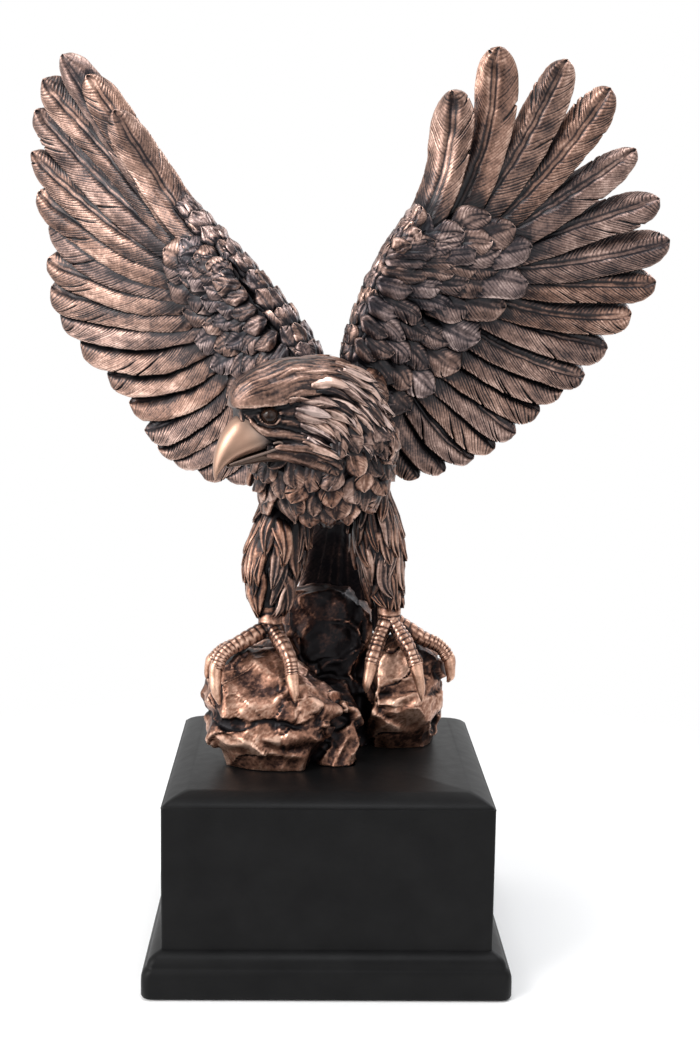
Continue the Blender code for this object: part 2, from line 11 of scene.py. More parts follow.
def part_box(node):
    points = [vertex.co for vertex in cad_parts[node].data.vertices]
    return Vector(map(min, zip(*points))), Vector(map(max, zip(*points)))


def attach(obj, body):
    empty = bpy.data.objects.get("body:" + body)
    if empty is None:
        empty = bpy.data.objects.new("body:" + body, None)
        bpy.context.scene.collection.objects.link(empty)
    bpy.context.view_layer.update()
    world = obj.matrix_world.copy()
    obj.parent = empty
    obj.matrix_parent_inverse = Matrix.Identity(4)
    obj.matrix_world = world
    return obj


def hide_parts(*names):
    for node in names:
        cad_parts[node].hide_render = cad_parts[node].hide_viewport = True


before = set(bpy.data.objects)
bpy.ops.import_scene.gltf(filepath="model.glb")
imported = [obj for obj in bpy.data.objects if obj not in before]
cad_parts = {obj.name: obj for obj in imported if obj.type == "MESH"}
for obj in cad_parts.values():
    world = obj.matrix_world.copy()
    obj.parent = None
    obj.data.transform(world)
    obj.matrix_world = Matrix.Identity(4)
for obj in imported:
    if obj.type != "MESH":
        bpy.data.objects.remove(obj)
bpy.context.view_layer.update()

# The casting is modelled in figure units, 1 mm at its real size, with their origin on the plinth's top
casting_low, casting_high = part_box("eagle_on_rocks")
CASTING_UNITS_HIGH = 240.27
UNIT = (casting_high.z - casting_low.z) / CASTING_UNITS_HIGH
FLOOR = casting_low.z
SEED = 11

# The wings. Each station is a feather's number, then the point of the leading edge that its coverts
# spread from, where the feather leaves the coverts, its tip and its width. girth is the arm's half
# thickness at the shoulder and at its end. sweep is how far the first feather curves, and curl how far
# the lower ones do.
LEFT_WING = {
    "name": "left_wing",
    "hand": 1,
    "feathers": 19,
    "ventral": (0.21, -0.97, 0.10),
    "stations": [
        (0, (19, 9, 169), (31, 12, 177), (38, 12, 223), 15.0),
        (1, (19, 9, 169), (44, 15, 177), (56, 17, 238), 14.5),
        (2, (19, 9, 169), (49, 17, 176), (78, 22, 235), 14.0),
        (3, (18, 9, 168), (53, 18, 173), (94, 25, 226), 14.0),
        (4, (18, 9, 168), (55, 18, 171), (103.5, 27, 206), 14.0),
        (6, (17, 9, 166), (56, 19, 165), (117, 30, 176), 14.0),
        (9, (15, 9, 161), (50, 18, 154), (96, 26, 137), 14.5),
        (12, (11, 8, 153), (37, 16, 137), (72, 22, 115), 14.5),
        (15, (8, 7, 143), (27, 13, 126), (48, 16, 98), 13.5),
        (18, (5, 8, 131), (15, 11, 114), (19, 12, 90), 12.5),
    ],
    "leading_edge": [(7, 10, 122), (9.5, 9, 141), (15.5, 9, 158), (21.5, 10, 171), (29, 12, 182)],
    "girth": (4.8, 2.6),
    "sweep": 0.105,
    "curl": 0.03,
}
RIGHT_WING = {
    "name": "right_wing",
    "hand": -1,
    "feathers": 20,
    "ventral": (-0.50, -0.86, 0.10),
    "stations": [
        (0, (-33, 26, 161), (-38.5, 29.5, 164), (-76.5, 48, 218.5), 13.5),
        (1, (-33, 26, 161), (-46, 33, 167), (-88, 56, 231), 14.5),
        (2, (-33, 26, 161), (-49, 36, 168), (-97, 61, 239), 14.0),
        (4, (-32, 25, 160), (-52, 38, 166), (-109, 68, 219), 15.0),
        (7, (-29, 23, 156), (-51, 38, 158), (-104, 67, 179), 17.5),
        (10, (-25, 21, 151), (-44, 35, 145), (-99, 64, 147), 18.0),
        (13, (-20, 18, 145), (-36, 30, 133), (-72, 50, 114), 17.5),
        (16, (-15, 16, 139), (-28, 25, 119), (-55, 40, 94), 16.5),
        (19, (-10, 13, 132), (-19, 20, 107), (-25, 23, 88), 15.0),
    ],
    "leading_edge": [
        (-5, 12, 122), (-11, 16, 136), (-21, 22, 150), (-32, 29, 163), (-43, 35, 175), (-53, 41, 186),
    ],
    "girth": (6.0, 2.8),
    "sweep": 0.03,
    "curl": 0.06,
}

# Rows of covert feathers: start and end as shares of the way from the leading edge to a flight
# feather's root (over 1 is past the root), then count, width, and lift off the wing at root and tip
VENTRAL_COVERTS = [
    (0.62, 1.26, 11, 12.6, 0.4, 2.8),
    (0.42, 0.98, 11, 11.0, 1.6, 4.2),
    (0.26, 0.76, 10, 9.6, 2.7, 5.1),
    (0.12, 0.56, 10, 8.4, 3.4, 5.6),
    (-0.02, 0.36, 10, 7.4, 3.9, 6.0),
]
DORSAL_COVERTS = [
    (0.50, 1.42, 12, 13.0, -1.0, -3.2),
    (0.22, 1.00, 12, 11.5, -2.6, -4.6),
    (0.02, 0.58, 11, 10.0, -3.6, -5.4),
]
# How far a feather tilts over its neighbour, and how far the first flight feather does
SHINGLE_TURN = math.radians(15)
FIRST_TURN = math.radians(36)

# How a feather is carved. columns and under are places from the quill (0) to the rim (1) on the two
# sides, pitch is the spacing of the barbs, groove, rib and puff are heights, and slope is how far a
# barb slants for each unit out from the quill. hidden is the share of the feather at its root that
# others cover, splits are the least and most splits, and round is how long its round end is in half
# widths.
FLIGHT = {
    "columns": (0, 0.05, 0.12, 0.21, 0.36, 0.54, 0.72, 0.88, 1),
    "under": (0, 0.12, 0.5, 1),
    "pitch": 1.5, "groove": 0.26, "rib": 0.24, "puff": 0.7, "slope": 1.35,
    "hidden": 0.08, "splits": (2, 5), "round": 1.35,
}
COVERT = {
    "columns": (0, 0.07, 0.17, 0.34, 0.58, 0.82, 1),
    "under": (0, 1),
    "pitch": 1.4, "groove": 0.16, "rib": 0.12, "puff": 0.6, "slope": 1.0,
    "hidden": 0.18, "splits": (0, 1), "round": 1.15,
}
SCALE = {
    "columns": (0, 0.08, 0.2, 0.45, 0.75, 1),
    "under": (0, 1),
    "pitch": 1.2, "groove": 0.09, "rib": 0.04, "puff": 0.5, "slope": 1.0,
    "hidden": 0.25, "splits": (0, 1), "round": 1.2,
}
ROWS_PER_BARB = 3
# Points on the track of a feather that stands free, and of one that lies on a surface
ARCHED_STEPS = 15
LAID_STEPS = 9

# The grids, in figure units, on which overlapping shells are melted into one skin
BODY_VOXEL = 1.6
HEAD_VOXEL = 0.5
ROCK_VOXEL = 0.75

# The head: its middle, and the way that it faces in figure units
SKULL = np.array((-10.5, -30.0, 118.7))
HEAD_TURN = math.radians(66)
HEAD_FORWARD = np.array((-math.sin(HEAD_TURN), -math.cos(HEAD_TURN), 0.0))
HEAD_LEFT = np.array((math.cos(HEAD_TURN), -math.sin(HEAD_TURN), 0.0))
UP = np.array((0.0, 0.0, 1.0))


def unit(vector):
    vector = np.asarray(vector, float)
    return vector / np.maximum(np.linalg.norm(vector, axis=-1, keepdims=True), 1e-9)


def smooth(low, high, value):
    t = np.clip((np.asarray(value, float) - low) / (high - low), 0, 1)
    return t * t * (3 - 2 * t)


def through(knots, values, at):
    """A smooth curve through values at the given knots, read at one place."""
    last = len(knots) - 1
    k = max(i for i in range(last) if knots[i] <= at or i == 0)
    span = knots[k + 1] - knots[k]
    t = (at - knots[k]) / span

    def slope(i):
        low, high = max(i - 1, 0), min(i + 1, last)
        return (values[high] - values[low]) / (knots[high] - knots[low])

    a, b = values[k], values[k + 1]
    m, n = slope(k) * span, slope(k + 1) * span
    t2, t3 = t * t, t * t * t
    return a * (2 * t3 - 3 * t2 + 1) + m * (t3 - 2 * t2 + t) + b * (3 * t2 - 2 * t3) + n * (t3 - t2)


def curve(points, count):
    """A smooth curve through rows of numbers, read at evenly spaced places."""
    points = np.array(points, float)
    knots = list(range(len(points)))
    return np.array([through(knots, points, at) for at in np.linspace(0, len(points) - 1, count)])


def wobble(points, spacing, seed):
    """A soft, uneven push in all directions for each point, about 1 at most."""
    chance = np.random.default_rng(seed)
    total = np.zeros_like(points)
    for _ in range(8):
        way = unit(chance.normal(size=3)) * (2 * np.pi / spacing * chance.uniform(0.7, 1.4))
        total += np.sin(points @ way + chance.uniform(0, 6.3))[:, None] * chance.normal(size=3)
    return total / 5


def point_values(mesh, label, values):
    """Stores one number for each point of a mesh."""
    made = mesh.attributes.new(label, "FLOAT", "POINT")
    made.data.foreach_set("value", values.astype(np.float32))


def fetched(items, label, width=1, kind=np.float32):
    """A number, or a row of them, for each of a mesh's items."""
    values = np.zeros(len(items) * width, kind)
    items.foreach_get(label, values)
    return values.reshape(-1, width) if width > 1 else values


def placed(name, data):
    """A new object in the scene."""
    made = bpy.data.objects.new(name, data)
    bpy.context.scene.collection.objects.link(made)
    return made


class Carving:
    """Closed shells in figure units. Each point has relief, from 0 in hollows and in painted shade to 1 where
    it is worn bright, and tone, from 0 for silvery to 1 for warm copper. shade is added to the relief of
    points; it holds random tone and also painted light and shade."""

    def __init__(self):
        self.points, self.relief, self.tone = [], [], []
        self.quads, self.caps = [], []
        self.count = 0
        self.shade = 0.0

    def add_points(self, points, relief, tone):
        first = self.count
        self.points.append(np.array(points, float).reshape(-1, 3))
        self.relief.append(np.broadcast_to(relief, points.shape[:-1]).reshape(-1) + self.shade)
        self.tone.append(np.broadcast_to(tone, points.shape[:-1]).reshape(-1))
        self.count += len(self.points[-1])
        return first

    def loft(self, rings, relief=0.5, tone=0.5):
        """Skins a stack of equal rings, facing out, and closes both ends."""
        levels, around = rings.shape[:2]
        index = self.add_points(rings, relief, tone) + np.arange(levels * around).reshape(levels, around)
        turned = np.roll(index, -1, axis=1)
        quads = np.stack([index[:-1], turned[:-1], turned[1:], index[1:]], -1).reshape(-1, 4)
        caps = [index[0][::-1], index[-1]]
        flat = rings.reshape(-1, 3) - rings.reshape(-1, 3).mean(0)
        a, b, c, d = (flat[quads[:, k] - index[0, 0]] for k in range(4))
        volume = (np.cross(a, b) * c).sum() + (np.cross(a, c) * d).sum()
        if volume < 0:
            quads, caps = quads[:, ::-1], [cap[::-1] for cap in caps]
        self.quads.append(quads)
        self.caps.extend(caps)

    def skin(self, points, quads, relief, tone):
        """Adds a skin of quads that is already closed."""
        self.quads.append(quads + self.add_points(points, relief, tone))

    def mesh(self, name, scale=1.0, floor=0.0):
        """One mesh of all the shells, with relief and tone as point attributes."""
        made = bpy.data.meshes.new(name)
        points = np.concatenate(self.points) * scale + np.array((0, 0, floor))
        quads = np.concatenate(self.quads) if self.quads else np.zeros((0, 4), int)
        corners = np.concatenate([quads.ravel()] + self.caps).astype(np.int32)
        sizes = np.array([4] * len(quads) + [len(cap) for cap in self.caps], np.int32)
        made.vertices.add(len(points))
        made.vertices.foreach_set("co", points.astype(np.float32).ravel())
        made.loops.add(len(corners))
        made.loops.foreach_set("vertex_index", corners)
        made.polygons.add(len(sizes))
        made.polygons.foreach_set("loop_start", np.concatenate([[0], np.cumsum(sizes)[:-1]]).astype(np.int32))
        made.polygons.foreach_set("loop_total", sizes)
        made.update(calc_edges=True)
        made.validate()
        made.shade_smooth()
        point_values(made, "relief", np.concatenate(self.relief))
        point_values(made, "tone", np.concatenate(self.tone))
        return made


def mesh_arrays(mesh):
    """A mesh's points, its quads and its point normals as arrays."""
    points = fetched(mesh.vertices, "co", 3).astype(float)
    corners = fetched(mesh.loops, "vertex_index", 1, np.int32)
    return points, corners.reshape(-1, 4), fetched(mesh.vertex_normals, "vector", 3).astype(float)


def fused(carving, voxel, rounds=2):
    """Overlapping shells melted into one skin, and smoothed: its points, quads and normals."""
    holder = placed("holder", carving.mesh("shells"))
    melt = holder.modifiers.new("melt", "REMESH")
    melt.mode = "VOXEL"
    melt.voxel_size = voxel
    ease = holder.modifiers.new("ease", "SMOOTH")
    ease.factor = 0.5
    ease.iterations = rounds
    bpy.context.view_layer.update()
    melted = holder.evaluated_get(bpy.context.evaluated_depsgraph_get())
    made = bpy.data.meshes.new_from_object(melted)
    bpy.data.objects.remove(holder, do_unlink=True)
    arrays = mesh_arrays(made)
    bpy.data.meshes.remove(made)
    return arrays


def carved(*forms):
    """A carving of the given forms."""
    carving = Carving()
    for form in forms:
        form(carving)
    return carving


def tree_of(points, quads):
    """A shape that rays and nearest places are found on."""
    return BVHTree.FromPolygons(points.tolist(), quads.tolist())


def tube(carving, path, hint, count=24, around=16, relief=0.6, tone=0.6, swell=None):
    """A closed tube along a smooth path, each row of which is a point, half width and half height."""
    path = curve(path, count)
    centre = path[:, :3]
    along = unit(np.gradient(centre, axis=0))
    upward = unit(np.cross(along, np.broadcast_to(hint, along.shape)))
    across = unit(np.cross(upward, along))
    angle = 2 * np.pi * (np.arange(around) + 0.5) / around
    share = np.linspace(0, 1, count)
    size = np.ones((count, around)) if swell is None else swell(share[:, None], angle[None, :])
    rings = centre[:, None] + across[:, None] * (path[:, 3, None] * np.cos(angle) * size)[..., None]
    rings = rings + upward[:, None] * (path[:, 4, None] * np.sin(angle) * size)[..., None]
    bright = relief if swell is None else relief + (size - 1) * 4
    carving.loft(rings, np.clip(bright, 0, 1), tone)


def vane(share, start):
    """A feather's half width along its length, as a share of its widest. It rounds off from the start."""
    body = 0.80 + 0.20 * np.sin(np.pi / 2 * np.minimum(share / 0.45, 1.0))
    end = np.clip((share - start) / (1 - start), 0, 1)
    return body * (0.06 + 0.94 * (1 - end ** 2.1) ** 0.5)


def read(track, at):
    """A track of points, read at shares of its length."""
    knots = np.linspace(0, 1, len(track))
    return np.stack([np.interp(at, knots, track[:, k]) for k in range(3)], -1)


def shifted(track, side, normal, share, across, out):
    """Points along a track, moved to its side and out from it."""
    return read(track, share) + read(side, share) * across[..., None] + read(normal, share) * out[..., None]


def barb_rows(look, length, chance):
    """Where a feather's mesh rows start on its quill, as shares, with each row's barb and place in it."""
    hidden = look["hidden"]
    barbs = max(int(length * (1 - hidden) / look["pitch"]), 4)
    starts = hidden + (1 - hidden) * (np.arange(barbs) + chance.uniform(-0.14, 0.14, barbs)) / barbs
    starts = np.append(starts, 1.0)
    per = ROWS_PER_BARB
    fine = [starts[k] + (starts[k + 1] - starts[k]) * np.arange(per) / per for k in range(barbs)]
    rows = np.concatenate([[0.0, hidden * 0.5], *fine, [1.0]])
    barb = np.concatenate([[0, 0], np.repeat(np.arange(barbs), per), [barbs - 1]])
    phase = np.concatenate([[0.5, 0.5], np.tile(np.arange(per) / per, barbs), [0.5]])
    return rows, barb, phase, barbs


def framed(track, normals):
    """The ways to the side of a track and out from what it lies on, at each of its points."""
    along = unit(np.gradient(track, axis=0))
    side = unit(np.cross(along, normals))
    return side, unit(np.cross(side, along))


def feather(carving, track, normals, width, thickness, look, chance, turn, tone):
    """One feather along a track: a blade with a raised quill, slanting barbs with grooves between them,
    a soft rim and a few splits. Its mesh rows run along the barbs."""
    length = np.linalg.norm(np.diff(track, axis=0), axis=1).sum()
    side, normal = framed(track, normals)
    cosine, sine = math.cos(turn), math.sin(turn)
    side, normal = side * cosine - normal * sine, normal * cosine + side * sine

    rows, barb, phase, barbs = barb_rows(look, length, chance)
    start = rows[:, None]
    columns = np.array(look["columns"])
    top = np.concatenate([-columns[:0:-1], columns])
    under = np.array(look["under"][:-1])
    below = np.concatenate([[1.0], under[:0:-1], -under, [-1.0]])
    depth = 0.25 + 0.75 * chance.uniform(0, 1, (2, barbs)) ** 1.5
    splits = [(chance.integers(2), chance.integers(barbs // 3, barbs - 1), chance.uniform(0.3, 0.6))
              for _ in range(chance.integers(look["splits"][0], look["splits"][1] + 1))]
    wave = (chance.uniform(5, 9), chance.uniform(0, 6), chance.uniform(8, 14))
    lean, off = chance.uniform(-0.12, 0.12), chance.uniform(-0.2, 0.2)
    groove_shape = np.where(phase == 0, 1.0, (np.abs(phase - 0.5) * 2) ** 2 * 0.8)[:, None]
    rounding = max(1 - look["round"] * chance.uniform(0.8, 1.3) * 0.5 * width / length, 0.25)

    def shape(v, upside):
        half = 0.5 * width * vane(start, rounding)
        reach = np.minimum(half * look["slope"], (1 - start) * length * 0.6)
        share = np.clip(start + np.abs(v) ** 1.7 * reach / length, 0, 1)
        half = 0.5 * width * vane(share, rounding)
        a = np.abs(v)
        hand = (v > 0).astype(int)
        from_quill = a * half
        window = smooth(0.08, 0.3, a) * smooth(look["hidden"] * 0.6, look["hidden"], share)
        cut = look["groove"] * depth[hand, barb[:, None]] * groove_shape
        quill = 0.5 * thickness * (1 - 0.35 * share)
        rib = np.exp(-(from_quill / 0.34) ** 2) * (1 - 0.6 * share)
        valley = np.exp(-((from_quill - 0.85) / 0.38) ** 2) * smooth(0, 0.15, 1 - share)
        lateral = (v + off * (1 - v ** 2)) * half + lean * width * smooth(0.6, 1.0, share)
        lateral = lateral * (1 + 0.06 * np.sin(share * wave[0] + wave[1]) * a)
        drop, torn = np.zeros_like(share), np.zeros_like(share)
        for which, number, inner in splits:
            here = (hand == which) & (barb[:, None] == number)
            ramp = np.clip((a - inner) / (1 - inner), 0, 1) * here * np.clip(1 - phase[:, None] * 1.6, 0, 1)
            drop = drop + ramp * 1.1
            torn = torn + ramp
            lateral = lateral * (1 - 0.20 * ramp)
        if upside:
            rim = 0.35 * quill
            height = rim + (quill - rim) * (1 - a ** 2.2) + look["rib"] * (rib - 1.1 * valley)
            height = height + look["puff"] * (np.sin(np.pi * np.minimum(a * 1.15, 1)) - 0.4 * a ** 4)
            height = height - cut * window - drop + 0.16 * np.sin(share * wave[2] + 3 * v + wave[1])
        else:
            rim = -0.50 * quill
            height = rim + (-0.75 * quill - rim) * (1 - a ** 2) - look["rib"] * rib + cut * window * 0.8
        bright = 0.54 - 0.9 * window * cut + 0.24 * smooth(0.75, 1, a) + 0.12 * rib - 0.30 * valley
        bright = bright + 0.12 * np.sin(share * wave[2] * 0.7 + 2 * v + wave[1])
        # The underside is darker by under_shade, painted shade on the side that faces away from the light,
        # and the covered root is darker, painted shade under the overlapping feathers.
        bright = bright - 0.8 * torn - (0 if upside else look.get("under_shade", 0.05))
        return share, lateral, height, bright - 0.2 * (1 - smooth(0.1, 0.55, share))

    parts = [shape(top[None, :] + 0 * start, True), shape(below[None, :] + 0 * start, False)]
    share, lateral, height, bright = (np.concatenate([part[k] for part in parts], 1) for k in range(4))
    carving.loft(shifted(track, side, normal, share, lateral, height), np.clip(bright, 0, 1), tone)


def arched(root, tip, facing, bow, bend=0.0):
    """The track of a feather that bows away from the side it faces and bends sideways, and its normals."""
    length = np.linalg.norm(tip - root)
    along = (tip - root) / length
    side = unit(np.cross(along, facing))
    normal = unit(np.cross(side, along))
    share = np.linspace(0, 1, ARCHED_STEPS)[:, None]
    track = root + along * length * share + (side * bend - normal * bow) * length * np.sin(np.pi * share)
    return track, np.broadcast_to(normal, track.shape)


def wing_lines(wing, number):
    """Where one feather's line starts on the leading edge, leaves the coverts and ends, and its width."""
    knots, *columns = zip(*wing["stations"])
    return [through(knots, np.array(column, float), number) for column in columns]


def covert_point(wing, number, chord):
    """A point among the coverts: chord 0 is on the leading edge and 1 at a flight feather's root."""
    lead, root, tip, _ = wing_lines(wing, number)
    if chord > 1:
        return root + unit(tip - root) * ((chord - 1) * np.linalg.norm(root - lead))
    return lead + (root - lead) * chord


def flight_feathers(wing):
    """The long feathers of a wing, each tilted over the next."""
    carving = Carving()
    chance = np.random.default_rng(SEED)
    hand = wing["hand"]
    facing = unit(wing["ventral"])
    for k in range(wing["feathers"]):
        lead, root, tip, width = wing_lines(wing, k)
        bend = hand * (wing["curl"] * smooth(2, 7, k) + 0.01 + wing["sweep"] * max(1 - k / 4, 0))
        bend += chance.uniform(-0.02, 0.02)
        track, normals = arched(root + (lead - root) * 0.25, tip, facing, 0.045, bend)
        look = dict(FLIGHT, round=1.3 + 0.9 * smooth(9, 4, k), groove=chance.uniform(0.12, 0.36))
        turn = -hand * (SHINGLE_TURN * (1 + 0.4 * smooth(6, 12, k)) if k else FIRST_TURN)
        thickness = 3.6 if k else 5.0
        feather(carving, track, normals, width, thickness, look, chance, turn, chance.uniform(0.3, 0.6))
    return carving


def covert_rows(carving, wing, rows, chance):
    """Overlapping rows of coverts, on the side of the wing that their lift says."""
    hand = wing["hand"]
    facing = unit(wing["ventral"])
    last = wing["feathers"] - 1
    for number, (start, end, count, width, low, high) in enumerate(rows):
        side = facing if high > 0 else -facing
        for k in range(count):
            place = min(last * (k + 0.5 * (number % 2)) / (count - 1) + chance.uniform(-0.1, 0.1), last)
            place = max(place, 0)
            root = covert_point(wing, place, start) + side * abs(low)
            tip = covert_point(wing, place, end + chance.uniform(-0.03, 0.03))
            tip = tip + side * (abs(high) + chance.uniform(-0.4, 0.5))
            turn = (-hand if high > 0 else hand) * 0.3 * SHINGLE_TURN + chance.uniform(-0.12, 0.12)
            track, normals = arched(root, tip, side, -0.08, chance.uniform(-0.05, 0.05))
            look = COVERT if width > 8 else SCALE
            # Each covert's brightness shifts at random and is lowered on the whole: random tone with painted
            # shade over the coverts.
            carving.shade = chance.uniform(-0.20, 0.04)
            feather(carving, track, normals, width * chance.uniform(0.9, 1.1), 2.8, look, chance, turn,
                    chance.uniform(0.0, 0.45))
            carving.shade = 0.0


def edge_scales(carving, wing, chance):
    """Small feathers that wrap the leading edge and point towards the wing's tip."""
    edge = [np.array(p, float) for p in wing["leading_edge"]]
    knots = list(range(len(edge)))
    facing = unit(wing["ventral"])
    steps = 11
    for k in range(steps):
        at = (len(edge) - 1.2) * (k + 0.5) / steps
        here, ahead = through(knots, edge, at), through(knots, edge, at + 0.25)
        along = unit(ahead - here)
        girth = wing["girth"][0] + (wing["girth"][1] - wing["girth"][0]) * at / (len(edge) - 1)
        outer = unit(np.cross(along, facing)) * -wing["hand"]
        for angle in (-90, -48, -6, 36, 78, 120):
            swing = math.radians(angle + 21 * (k % 2) + chance.uniform(-5, 5))
            out = outer * math.cos(swing) + facing * math.sin(swing)
            root = here + out * (girth * 0.72) - along * 3
            tip = here + out * (girth + chance.uniform(0.1, 0.7)) + along * chance.uniform(5.5, 7.0)
            track, normals = arched(root, tip, out, -0.05)
            feather(carving, track, normals, 6.2, 2.0, SCALE, chance, chance.uniform(-0.15, 0.15),
                    chance.uniform(0.05, 0.5))


def wing_core(carving, wing):
    """The arm along the leading edge, and the web that carries the feathers' roots."""
    edge = wing["leading_edge"]
    thick, thin = wing["girth"]
    sizes = [thick + (thin - thick) * i / (len(edge) - 1) for i in range(len(edge))]
    tube(carving, [(*p, s, s) for p, s in zip(edge, sizes)], wing["ventral"], 30, 14, 0.3, 0.3)
    facing = unit(wing["ventral"])
    corners = ((0.0, 3.0), (0.6, 1.9), (1.08, 0.2), (1.08, -1.2), (0.6, -2.6), (0.0, -3.6))
    rings = [[covert_point(wing, k, chord) + facing * lift for chord, lift in corners]
             for k in range(wing["feathers"])]
    carving.loft(np.array(rings), 0.15, 0.3)


def covert_coat(wing):
    """The arm of a wing under its coverts, front and back."""
    carving = Carving()
    chance = np.random.default_rng(SEED + 1)
    wing_core(carving, wing)
    covert_rows(carving, wing, VENTRAL_COVERTS, chance)
    covert_rows(carving, wing, DORSAL_COVERTS, chance)
    edge_scales(carving, wing, chance)
    return carving


def trail(surface, start, flow, length):
    """A track that follows a surface from a start the way that flow says, and its normals."""
    place, normal, _, _ = surface.find_nearest(start)
    points, normals = [np.array(place)], [np.array(normal)]
    for _ in range(LAID_STEPS - 1):
        way = flow(points[-1])
        way = unit(way - normals[-1] * np.dot(way, normals[-1]))
        place, normal, _, _ = surface.find_nearest(points[-1] + way * (length / (LAID_STEPS - 1)))
        normal = unit(np.array(normal) + normals[-1])
        points.append(np.array(place))
        normals.append(normal)
    return np.array(points), np.array(normals)


def eased(track):
    """A track with its kinks smoothed out in two rounds, its ends kept."""
    for _ in range(2):
        track = np.concatenate([track[:1], (track[:-2] + 2 * track[1:-1] + track[2:]) / 4, track[-1:]])
    return track


def laid(surface, start, flow, length, sink, lift):
    """A feather's track on a surface: its root sinks in and its tip lifts off."""
    track, normals = trail(surface, start, flow, length)
    share = np.linspace(0, 1, LAID_STEPS)[:, None]
    normals = unit(eased(normals))
    return eased(track) + normals * (-sink + (sink + lift) * share ** 1.3), normals


def lock(carving, track, normals, width, thickness, chance, grooves, tone, curl, blunt=0.08, power=1.4,
         fray=0.07):
    """A lock of narrow feathers with grooves along it. Its sides draw in from near its root, to a point at
    a low power and to a round end at 2."""
    count = 13
    share = np.linspace(0, 1, count)
    points = read(track, share)
    side, normal = framed(points, unit(read(normals, share)))
    wave = curl * np.sin(share * 2.6 + chance.uniform(-0.6, 0.6))
    points = points + side * (wave - wave[0])[:, None]
    share = share[:, None]
    half = 0.5 * width * (0.55 + 0.45 * np.sin(np.pi / 2 * np.minimum(share / 0.4, 1)))
    taper = (1 - np.clip((share - 0.3) / 0.7, 0, 1) ** power) ** (1 / power)
    half = half * (blunt + (1 - blunt) * taper)
    v = np.linspace(-1, 1, 3 * grooves + 6)[None, :]
    swing, drift = chance.uniform(-0.6, 0.6), chance.uniform(-1.6, 1.6)
    ridges = np.cos(np.pi * (grooves + 0.6) * v + swing + drift * share + 0.9 * np.sin(3.7 * v + drift))
    body = 0.5 * thickness * (1 - 0.45 * share)
    height = body * (0.15 + 0.85 * (1 - v ** 2)) + 0.075 * thickness * ridges * smooth(0, 0.3, share)
    pull = fray * (1 - ridges) * share ** 3

    def laid_at(v, height, pull):
        return shifted(points, side, normal, np.clip(share + 0 * v - pull, 0, 1), half * v, height)

    low = v[:, ::-1][:, 1:-1:2]
    under = -body * 0.6 * (1.1 - low ** 2)
    rings = np.concatenate([laid_at(v, height, pull), laid_at(low, under, pull[:, ::-1][:, 1:-1:2])], 1)
    bright = 0.46 + 0.08 * ridges + 0.14 * np.abs(v) ** 3 + 0.10 * smooth(0.6, 1, share)
    # The lock's underside is dark, and its root, under the locks that overlap it, is darkened: painted shade.
    relief = np.concatenate([bright, np.full(under.shape, 0.2)], 1)
    carving.loft(rings, np.clip(relief - 0.35 * (1 - smooth(0, 0.4, share)), 0, 1), tone)


def body_form(carving):
    """The trunk, the neck and breast, and the shoulders, as overlapping tubes."""
    torso = [(-3, -24, 95, 9, 8), (-3, -19, 97, 15, 13), (-2.5, -8, 99, 18.5, 19), (-1, 8, 102, 18.5, 21),
             (2, 21, 98, 16.5, 18), (5, 31, 88, 12, 11), (6, 38, 78, 7, 4.5)]
    tube(carving, torso, (1, 0, 0), 30, 32)
    neck = [(-2.5, -10, 89, 14, 10), (-3, -14, 94, 19.8, 16), (-3, -16.5, 103, 21.2, 19),
            (-3, -19, 114, 19, 18), (-4, -22, 124, 14.5, 14), (-5, -24, 132, 6, 6)]
    tube(carving, neck, (1, 0, 0), 30, 32)
    shoulders = [(-15, 12, 126, 5, 5), (-9, 7, 123, 10, 9.5), (0, 3, 121, 13, 11.5), (9, 4, 123, 10, 9.5),
                 (14, 7, 128, 5, 5)]
    tube(carving, shoulders, (0, 1, 0), 24, 24)


def thigh_form(carving):
    right = [(-12, 4, 94, 7, 11), (-14, -1, 85, 7.6, 13), (-16.5, -5, 75, 8.2, 13.5),
             (-19.0, -8, 66, 8.6, 10.5), (-20.0, -10.5, 58, 6.0, 6.6), (-19.8, -12, 50, 3.6, 3.8)]
    left = [(10.5, 8, 94, 6.5, 11), (13.2, 5, 85, 6.8, 12.5), (15.6, 3, 75, 7.4, 12.5),
            (16.9, 2, 66, 6.8, 9.5), (18.2, 1, 58, 4.8, 6.0), (20.0, 0, 50, 3.4, 3.6)]
    for thigh in (right, left):
        tube(carving, thigh, (1, 0, 0), 26, 24)


def head_point(forward, up, left=0.0):
    return SKULL + HEAD_FORWARD * forward + UP * up + HEAD_LEFT * left


def head_place(point):
    """A point's place forward, up and left of the middle of the skull."""
    away = np.asarray(point) - SKULL
    return away @ HEAD_FORWARD, away @ UP, away @ HEAD_LEFT


def in_head(rows, side):
    """Rows of forward, up and left with what follows them, as figure points with what follows them."""
    return [(*head_point(f, u, side * w), *rest) for f, u, w, *rest in rows]


